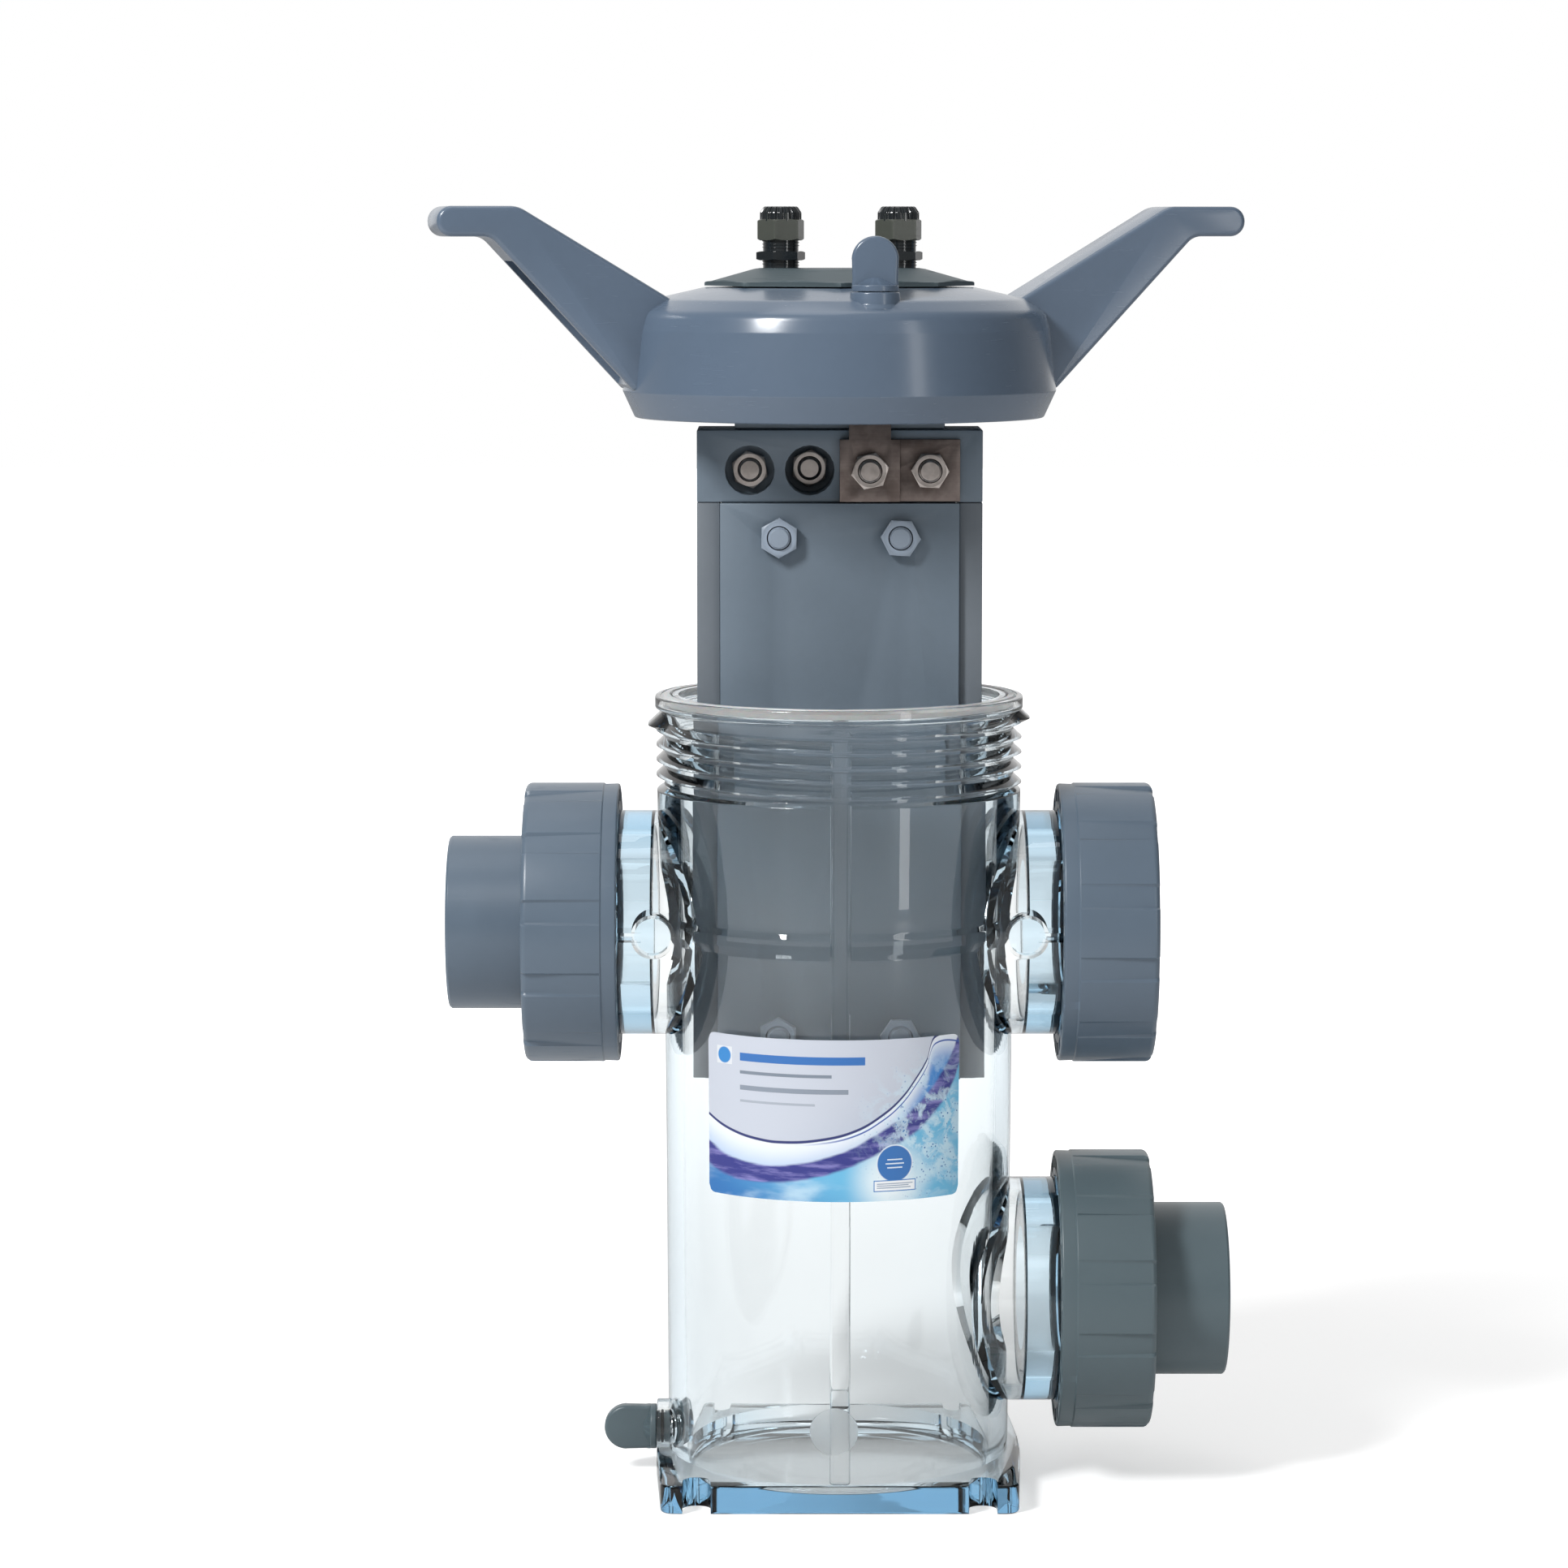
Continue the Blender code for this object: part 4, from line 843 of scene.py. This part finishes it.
def clear_vessel():
    """Body, base, port stubs, drain boss and neck thread as one welded clear solid."""
    outer = rounded([
        (0, RIM), (79.0, RIM, 1.0), (79.0, 335.5, 0.8), (75.0, 334.2, 1.0), (75.0, 301.8, 0.6),
        (78.2, 300.4, 0.8), (77.3, 247.4, 2.0), (78.4, 244.8, 1.8), (78.2, 240.6, 2.0),
        (75.3, 236.2, 2.0), (74.6, 150.0), (74.0, 26.0), (74.0, 2.0), (0, 2.0),
    ])
    body = turned("clear_vessel_piece", outer, 256)
    base = slab("base", base_outline(), 0, 12.3, 1.1)
    joined = [base]
    neck = thread(
        "neck_thread", 75.0, 331.2, 6.45, 4.45, 3.6, CLEAR,
        root=4.4, crest=0.15, foot=1.9, steps=128, fade=0.012, sink=0.9,
    )
    joined.append(moved(neck, about("Z", -100)))
    collar = thread(
        "neck_collar", 75.0, 331.5, 5.6, 0.60, 7.0, CLEAR,
        root=7.6, crest=0.3, foot=3.9, steps=128, fade=0.05, sink=0.9,
    )
    joined.append(moved(collar, about("Z", -18)))
    boss = turned("drain_boss", rounded([(0, 79), (12, 79, 0.8), (12, 60), (0, 60)]), 64)
    joined.append(moved(boss, along_port(-1, 19.5)))
    joined += [clear_stub(name, sign, height) for name, sign, height in PORTS]
    combine(body, joined, "UNION")

    bore = rounded([(0, 350), (69, 350), (69, 339), (66, 14), (66, 6, 8.0), (0, 6)])
    cuts = [turned("bore", bore, 256)]
    for name, sign, height in PORTS:
        cuts.append(moved(drum(name + "_bore", 27, 40, 130, 128), along_port(sign, height)))
    cuts.append(moved(drum("drain_bore", 7.7, 50, 90, 48), along_port(-1, 19.5)))
    seat = [(71.6, 346), (76.8, 346), (76.8, 336.5, 0.8), (71.6, 336.5, 0.8)]
    cuts.append(turned("ring_seat", rounded(seat), 256))
    foot_slot = arc(6, 0, 180, 12, (0, -67.0)) + [(-6, -95), (6, -95)]
    for x in (-60.6, 60.6):
        for turn in (0, 180):
            cuts.append(moved(slab("slot", foot_slot, -5, 20), at(x, 0, 0) @ about("Z", turn)))
    combine(body, cuts, "DIFFERENCE")
    floor = [(-4.3, 0), *reversed(arc(4.3, 0, 180, 12, (0, 318.0))), (4.3, 0)]
    groove = slab("front_channel", floor, 0, 20, 1.3, 4)
    combine(body, [moved(groove, at(0, -72.6, 12.3) @ about("X", 90.5))], "DIFFERENCE")
    shown(body, CLEAR, 28)
    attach(body, "vessel")
    stubs = [name + "_stub" for name, _, _ in PORTS]
    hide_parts("vessel_body", "vessel_base", *stubs)


def label_film():
    """The printed film, curved round the front, with rounded corners."""
    across, up, corner = 120, 60, 3.5
    points, uvs, faces = [], [], []
    for i in range(across + 1):
        u = i / across
        reach = min(u, 1 - u) * LABEL_WIDE
        inset = corner - math.sqrt(max(0.0, corner**2 - max(0.0, corner - reach) ** 2))
        for j in range(up + 1):
            v = (inset + (LABEL_TALL - 2 * inset) * j / up) / LABEL_TALL
            z = LABEL_FOOT + LABEL_TALL * v
            wall = 74.6 + 0.7 * max(0.0, (z - 150.0) / 86.6)
            radius = wall + LABEL_CLEARANCE
            a = math.radians(LABEL_FACING + LABEL_SWEEP * (u - 0.5))
            points.append((radius * MM * math.cos(a), radius * MM * math.sin(a), z * MM))
            uvs.append((u, v))
    for i in range(across):
        for j in range(up):
            k = i * (up + 1) + j
            faces.append((k, k + up + 1, k + up + 2, k + 1))
    mesh = bpy.data.meshes.new("label_piece")
    mesh.from_pydata(points, [], faces)
    layer = mesh.uv_layers.new(name="print")
    for loop in mesh.loops:
        layer.data[loop.index].uv = uvs[loop.vertex_index]
    film = piece("label_piece", mesh)
    depth = film.modifiers.new("film", "SOLIDIFY")
    depth.thickness = 0.35 * MM
    depth.offset = 1.0
    taken(film)
    stands_for(shown(film, printed_label(), 40), "label")


# Unions

# The flange that a union nut pulls against the stub, with the groove of its ring
FLANGE = [
    (37.3, 125.3, 1.0), (45.5, 125.3, 0.5), (45.5, 118.4, 0.5), (40.3, 118.4), (40.3, 121.2),
    (36.5, 121.2), (36.5, 118.4),
]


def union_nut(name, sign, height, material):
    blank = rounded([
        (38.6, 134.7, 0.8), (60.2, 134.7, 2.6), (60.2, 101.2, 0.4), (59.7, 100.6), (59.9, 94.4, 0.9),
        (49.2, 94.4, 0.9), (49.2, 125.6), (38.6, 125.6),
    ])
    nut = turned(name + "_piece", blank, 720)
    with_tree(
        nut, RELIEF, count=12, depth=1.5 * MM, proud_share=0.68, edge=0.010, turn=0.61,
        lower=101.6 * MM, upper=0.3, run_out=0.8 * MM, inside_radius=0.05, material=material,
    )
    pocket = slab("pocket", arc(57.6, -5.4, 5.4, 4) + arc(52.2, 5.4, -5.4, 4), 90.0, 98.4, 0.5, 1)
    with_tree(pocket, ROUND, count=24, turn=0.06, material=material)
    combine(nut, [pocket], "DIFFERENCE")
    moved(nut, along_port(sign, height))
    stands_for(shown(nut, material, 30), name)


def union_tail(name, sign, height, material):
    profile = rounded([
        (30.3, 167.7, 0.9), (36.5, 167.7, 0.7), (37.3, 166.7, 0.4), *FLANGE, (26.5, 118.4, 0.8),
        (26.5, 129.7, 0.8), (30.3, 129.7),
    ])
    tail = moved(turned(name + "_piece", profile, 192), along_port(sign, height))
    stands_for(shown(tail, material), name)


def blank_plug(name, sign, height, material):
    profile = rounded([
        (0, 128.3), (30.2, 128.3, 1.6), (32.0, 133.7, 0.9), (37.3, 133.7, 0.8), *FLANGE, (0, 118.4),
    ], closed=False)
    plug = moved(turned(name + "_piece", profile, 192), along_port(sign, height))
    stands_for(shown(plug, material), name)


def winged_plug(name, matrix, material):
    profile = rounded([
        (0, 3), (9.75, 3, 0.7), (9.75, 0.3, 0.4), (6.9, 0.3), (6.9, -1.5), (5.95, -1.5),
        (5.95, -3.5), (6.9, -3.5), (6.9, -10, 0.6), (0, -10),
    ], closed=False)
    plug = turned(name + "_piece", profile, 96)
    wing = rounded([(9.75, 2, 0.1), (9.4, 5, 2.0), (9.6, 13.2)], closed=False)
    wing += arc(9.7, 2, 178, 28, (0, 13.25))
    wing += rounded([(-9.6, 13.2), (-9.4, 5, 2.0), (-9.75, 2, 0.1)], closed=False)
    blade = slab("wing", wing, -3.5, 3.5, 1.5, 4)
    moved(blade, about("X", 90))
    foot = rounded([(0, 6.0), (3.6, 6.0, 2.2), (8.8, 2.9), (8.8, 2.2), (0, 2.2)], closed=False)
    combine(plug, [blade, turned("foot", foot, 64)], "UNION")
    ridge = thread(
        "shank_thread", 6.9, -4.6, 1.8, 2.6, 0.6, material, root=0.7, crest=0.15, steps=48, sink=0.2
    )
    combine(plug, [ridge], "UNION")
    moved(plug, matrix)
    stands_for(shown(plug, material, 35), name)


# The lid


def lid_handle(turn):
    """One handle: an arm that rises to a flat round-ended grip and is open underneath."""
    side = rounded([
        (70.0, 500.0), (74.0, 509.3, 3.0), (140.0, 549.0, 12.0), (174.1, 549.0, 6.3),
        (174.1, 536.3, 6.3), (151.5, 536.3, 8.0), (91.5, 472.0, 2.0), (70.0, 472.0),
    ], 8)
    arm = slab("arm", side, -17.5, 17.5, 2.6, 4)
    hollow = rounded([
        (93.5, 440.0), (93.5, 514.5, 3.0), (134.5, 539.3, 3.0), (142.0, 539.3, 2.0), (142.0, 440.0),
    ])
    combine(arm, [slab("hollow", hollow, -12.5, 12.5, 1.0, 2)], "DIFFERENCE")
    return moved(arm, about("Z", turn) @ about("X", 90))


def screw_lid():
    outer = rounded([
        (0, 514.9), (57.4, 514.9, 1.0), (79.0, 510.0, 8.0), (87.6, 504.6, 7.0), (89.6, 497.0, 5.0),
        (92.45, 471.2, 1.5), (87.2, 459.8, 1.2), (0, 459.8),
    ])
    lid = turned("lid_piece", outer, 256)
    seat = at(*VENT)
    flank = [(0, 0), (10.2, 0, 0.7), (10.6, -5.0, 1.0), (11.8, -6.6, 1.5), (11.8, -10), (0, -10)]
    boss = turned("vent_boss", rounded(flank, closed=False), 64)
    yaw = math.degrees(LID_YAW)
    combine(lid, [lid_handle(yaw), lid_handle(yaw + 180), moved(boss, seat)], "UNION")
    inside = rounded([
        (0, 525), (46.5, 525), (46.5, 500.5, 0.5), (84.4, 500.5, 1.0), (84.4, 462.0), (85.2, 454),
        (0, 454),
    ])
    hole = moved(drum("vent_hole", 7.7, -11.5, 10, 48), seat)
    vent = moved(drum("vent_way", 1.5, -30, 0, 16), seat)
    combine(lid, [turned("inside", inside, 192), hole, vent], "DIFFERENCE")
    stands_for(shown(lid, LID_GREY, 30), "lid")


# The head of the cell


def cell_head():
    profile = rounded([
        (0, 515.2), (45.6, 515.2), (45.6, 500.2, 1.0), (79.5, 500.2, 1.2), (79.5, 488.0, 0.8),
        (65.5, 488.0), (65.5, 474.0, 1.5), (0, 474.0),
    ])
    head = turned("cell_head_piece", profile, 192)
    neck = block("neck", (-44.5, -19.0, 455.3), (44.5, 19.0, 479.0), 0.6)
    combine(head, [neck], "UNION")
    stands_for(shown(head, SHEET_PVC), "cell_head")


def terminal_plate():
    """The eight-sided plate under the glands, lightly crowned."""
    profile = [(0, 522.8), (20, 522.8), (35.2, 522.8), (36.4, 522.6)]
    profile += [(36.4 + 18.0 * i / 12, 522.6 - 5.05 * i / 12) for i in range(1, 13)]
    profile += [(56.6, 517.3), (57.2, 517.1), (57.5, 516.7), (57.5, 515.55), (0, 515.55)]
    plate = turned("terminal_plate_piece", profile, 256)
    with_tree(plate, POLYGON, sides=8, flat_radius=53.1 * MM, material=PLATE_GREY)
    boss = rounded([(0, 522.95), (9.4, 522.95, 0.1), (9.6, 521.0), (0, 521.0)], closed=False)
    for x in (-GLAND_X, GLAND_X):
        combine(plate, [moved(turned("gland_boss", boss, 48), at(x, 0, 0))], "UNION")
    stands_for(shown(plate, PLATE_GREY, 20), "terminal_plate")


def hexagon(name, flat, low, high, hole, chamfer, material):
    """A hexagonal nut or head, chamfered at both ends, from low to high along its axis."""
    corner = flat / math.cos(math.radians(30))
    rise = chamfer * (corner - flat)
    inner = flat - 0.4
    across = corner - inner
    top = [(inner + across * i / 8, high - rise * max(0, i - 1) / 7) for i in range(9)]
    bottom = [(corner - across * i / 8, low + rise * max(0, 7 - i) / 7) for i in range(9)]
    blank = turned(name, [(hole, high), *top, *bottom, (hole, low)], 96)
    return with_tree(blank, POLYGON, sides=6, flat_radius=flat * MM, material=material)


def gland(side, x):
    """A nylon cable gland: hexagon base and threads on the plate, and a domed cap nut."""
    tube = turned("tube", [(4.5, 538.5), (7.3, 538.5), (7.6, 538.0), (7.6, 523.0), (4.5, 523.0)], 64)
    hexagonal = hexagon(f"gland_body_{side}_piece", 9.2, 526.2, 530.1, 5.5, 0.35, NYLON)
    combine(hexagonal, [tube], "UNION")
    form = {"root": 0.55, "crest": 0.12, "steps": 48, "sink": 0.3}
    lower = thread("lower_thread", 7.2, 526.4, 1.15, 2.3, 0.75, NYLON, **form)
    upper = thread("upper_thread", 7.2, 537.6, 1.3, 5.0, 0.75, NYLON, **form)
    combine(hexagonal, [lower, upper], "UNION")
    moved(hexagonal, at(x, 0, 0) @ about("Z", 12))
    stands_for(shown(hexagonal, NYLON, 30), f"gland_body_{side}")

    cap = hexagon("cap", 8.92, 534.6, 543.6, 8.15, 0.5, CAP_NYLON)
    moved(cap, about("Z", 16))
    dome = turned("dome", rounded([
        (4.5, 549.0, 0.3), (7.2, 549.0, 1.4), (8.95, 546.4, 1.4), (8.95, 542.8), (4.5, 542.8),
    ]), 288)
    with_tree(
        dome, RELIEF, count=18, depth=0.7 * MM, proud_share=0.62, edge=0.10, turn=0.0,
        lower=543.9 * MM, upper=1.0, run_out=0.6 * MM, inside_radius=6.0 * MM, material=NYLON,
    )
    combine(cap, [dome], "UNION")
    cap.name = f"gland_nut_{side}_piece"
    moved(cap, at(x, 0, 0))
    cap.data.materials.clear()
    for material in (CAP_NYLON, NYLON):
        cap.data.materials.append(material)
    for face in cap.data.polygons:
        face.material_index = 1 if face.center.z > 543.65 * MM else 0
    stands_for(smoothed(cap, 30), f"gland_nut_{side}")


# The cell


def through(x, z):
    """Local Z runs towards the back, through (x, z)."""
    return at(x, 0, z) @ about("X", -90)


def span_y(node):
    low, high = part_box(node)
    return low.y / MM, high.y / MM


def hex_bolt(node, x, z, flat, thick, material, turn):
    """A hex bolt with a chamfered, finely threaded end."""
    end, back = span_y(node)
    head = hexagon(node + "_piece", flat, back - thick, back, 0, 0.5, material)
    moved(head, about("Z", turn))
    top = back - thick + 1
    shank = rounded([(0, top), (4.55, top), (4.55, end + 1.0), (3.9, end, 0.3), (0, end)], closed=False)
    combine(head, [turned("shank", shank, 48)], "UNION")
    ridge = thread(
        "fine_thread", 4.5, end + 9.0, 1.2, 6.5, 0.24, material,
        root=0.42, crest=0.05, steps=32, sink=0.15,
    )
    combine(head, [ridge], "UNION")
    moved(head, through(x, z))
    stands_for(shown(head, material, 30), node)


def hex_nut(node, x, z, flat, material, turn):
    front, back = span_y(node)
    nut = hexagon(node + "_piece", flat, front, back, 5.2, 0.5, material)
    moved(nut, through(x, z) @ about("Z", turn))
    stands_for(shown(nut, material, 30), node)


def cell_pieces():
    shown(softened("terminal_block", 0.5), SHEET_PVC)
    for node in ("front_panel", "back_panel"):
        shown(softened(node, 0.4), SHEET_PVC)
    for node in ("left_side_wall", "right_side_wall"):
        wall = shown(softened(node, 0.3), SIDE_PVC)
        for vertex in wall.data.vertices:
            if abs(vertex.co.x) < 54 * MM:
                vertex.co.x -= math.copysign(1.2 * MM, vertex.co.x)
    for node in ("link_plate_front", "link_plate_back", "bus_strap_front", "bus_strap_back"):
        shown(softened(node, 0.25), TITANIUM)
    for side, sign in (("left", -1), ("right", 1)):
        for level, z in (("lower", 197.0), ("upper", 409.7)):
            where = f"{level}_{side}"
            hex_bolt(f"tie_bolt_{where}", sign * 25.7, z, 7.4, 5.0, BOLT_PVC, 30)
            hex_nut(f"tie_nut_{where}", sign * 25.7, z, 7.4, BOLT_PVC, 31 if side == "left" else 63)
    for i in range(4):
        x = 25.4 * (i - 1.5)
        hex_bolt(f"terminal_bolt_{i + 1}", x, 438.0, 7.05, 4.5, NUT_TITANIUM, 30)
        hex_nut(f"terminal_nut_{i + 1}", x, 438.0, 7.05, NUT_TITANIUM, 20 + 14 * i)


def kept_nodes():
    """The CAD nodes whose shapes are right as they are take these finishes."""
    finishes = {
        "rim_ring": SILICONE,
        "upper_left_ring": RUBBER, "upper_right_ring": RUBBER, "lower_right_ring": RUBBER,
        "vent_ring": RUBBER, "drain_ring": RUBBER,
        "gland_seal_left": RUBBER, "gland_seal_right": RUBBER,
    }
    finishes.update({node: COATED for node in NODES if node.startswith("electrode_plate")})
    for node, material in finishes.items():
        for slot in NODES[node].material_slots:
            slot.material = material


# Floor, light and camera


def studio():
    """A white floor, a surround that is brighter behind and above than at the sides, and three
    softboxes, the main one on the left."""
    edge = 9000
    corners = [(-edge, -edge), (edge, -edge), (edge, edge), (-edge, edge)]
    floor = slab("studio_floor", corners, -20, -0.05)
    material, tree, shader = new_material("studio_white", Roughness=0.95, Specular_IOR_Level=0.1)
    where = own_place(tree)
    shade = mix(tree, noise(tree, where, 2.0), rgb(0.80, 0.80, 0.80), rgb(0.82, 0.82, 0.82))
    tree.links.new(shade, shader.inputs["Base Color"])
    reach = vector_calc(tree, "LENGTH", where)["Value"]
    path = add(tree, "ShaderNodeLightPath").outputs
    through_clear = product(tree, path["Is Transmission Ray"], 0.62)
    seen = calc(tree, "MAXIMUM", path["Is Camera Ray"], through_clear)
    glow = calc(tree, "MULTIPLY_ADD", smooth_step(tree, reach, 0.3, 1.2), 0.6, 0.46)
    shader.inputs["Emission Color"].default_value = rgb(1.0, 1.0, 1.0)
    tree.links.new(product(tree, seen, glow), shader.inputs["Emission Strength"])
    floor.data.materials.append(material)

    world = bpy.data.worlds.new("studio")
    world.use_nodes = True
    tree = world.node_tree
    way = add(tree, "ShaderNodeTexCoord").outputs["Generated"]
    x, y, z = split(tree, way)
    level = calc(tree, "MULTIPLY_ADD", smooth_step(tree, y, 0.15, 0.75), 0.66, 0.32)
    level = calc(tree, "MULTIPLY_ADD", smooth_step(tree, z, 0.45, 0.95), 0.12, level)
    aside = calc(tree, "MULTIPLY_ADD", x, 0.1, calc(tree, "ABSOLUTE", x))
    sides = smooth_step(tree, aside, 0.30, 0.75)
    level = product(tree, level, calc(tree, "MULTIPLY_ADD", sides, -0.62, 1.0))
    path = add(tree, "ShaderNodeLightPath").outputs
    level = calc(tree, "MAXIMUM", level, path["Is Camera Ray"])
    tree.links.new(level, tree.nodes["Background"].inputs["Strength"])
    tree.nodes["Background"].inputs["Color"].default_value = rgb(1.0, 1.0, 1.0)
    bpy.context.scene.world = world
    for name, place, target, size, power in (
        ("left_softbox", (-1.25, -1.35, 1.75), (0, 0, 0.33), (0.45, 0.6), 46.0),
        ("right_strip", (1.15, -1.35, 0.75), (0, 0, 0.35), (0.22, 1.5), 4.0),
        ("top_softbox", (-0.2, 0.1, 2.1), (0, 0, 0.3), (1.0, 0.8), 4.0),
    ):
        lamp = bpy.data.lights.new(name, "AREA")
        lamp.shape = "RECTANGLE"
        lamp.size, lamp.size_y = size
        lamp.energy = power
        obj = bpy.data.objects.new(name, lamp)
        obj.location = place
        obj.rotation_euler = (Vector(target) - Vector(place)).to_track_quat("-Z", "Y").to_euler()
        bpy.context.scene.collection.objects.link(obj)

    lens = bpy.data.cameras.new("camera")
    lens.lens = 111.8
    lens.sensor_width = 36.0
    camera = bpy.data.objects.new("camera", lens)
    camera.location = (-0.0236, -2.084, 0.539)
    camera.rotation_euler = (math.radians(90 - 6.49), 0, 0)
    bpy.context.scene.collection.objects.link(camera)
    bpy.context.scene.camera = camera
    bpy.context.scene.view_settings.view_transform = "Standard"


clear_vessel()
label_film()
for port, sign, height in PORTS:
    finish = GREEN_GREY if port == "lower_right" else UNION_GREY
    union_nut(port + "_nut", sign, height, finish)
    if port == "upper_right":
        blank_plug("upper_right_blank_plug", sign, height, finish)
    else:
        union_tail(port + "_tailpiece", sign, height, finish)
winged_plug("drain_plug", at(-79.0, 0, 19.5) @ about("Y", -90), GREEN_GREY)
winged_plug("vent_plug", at(*VENT), LID_GREY)
screw_lid()
cell_head()
terminal_plate()
gland("left", -GLAND_X)
gland("right", GLAND_X)
cell_pieces()
kept_nodes()
studio()
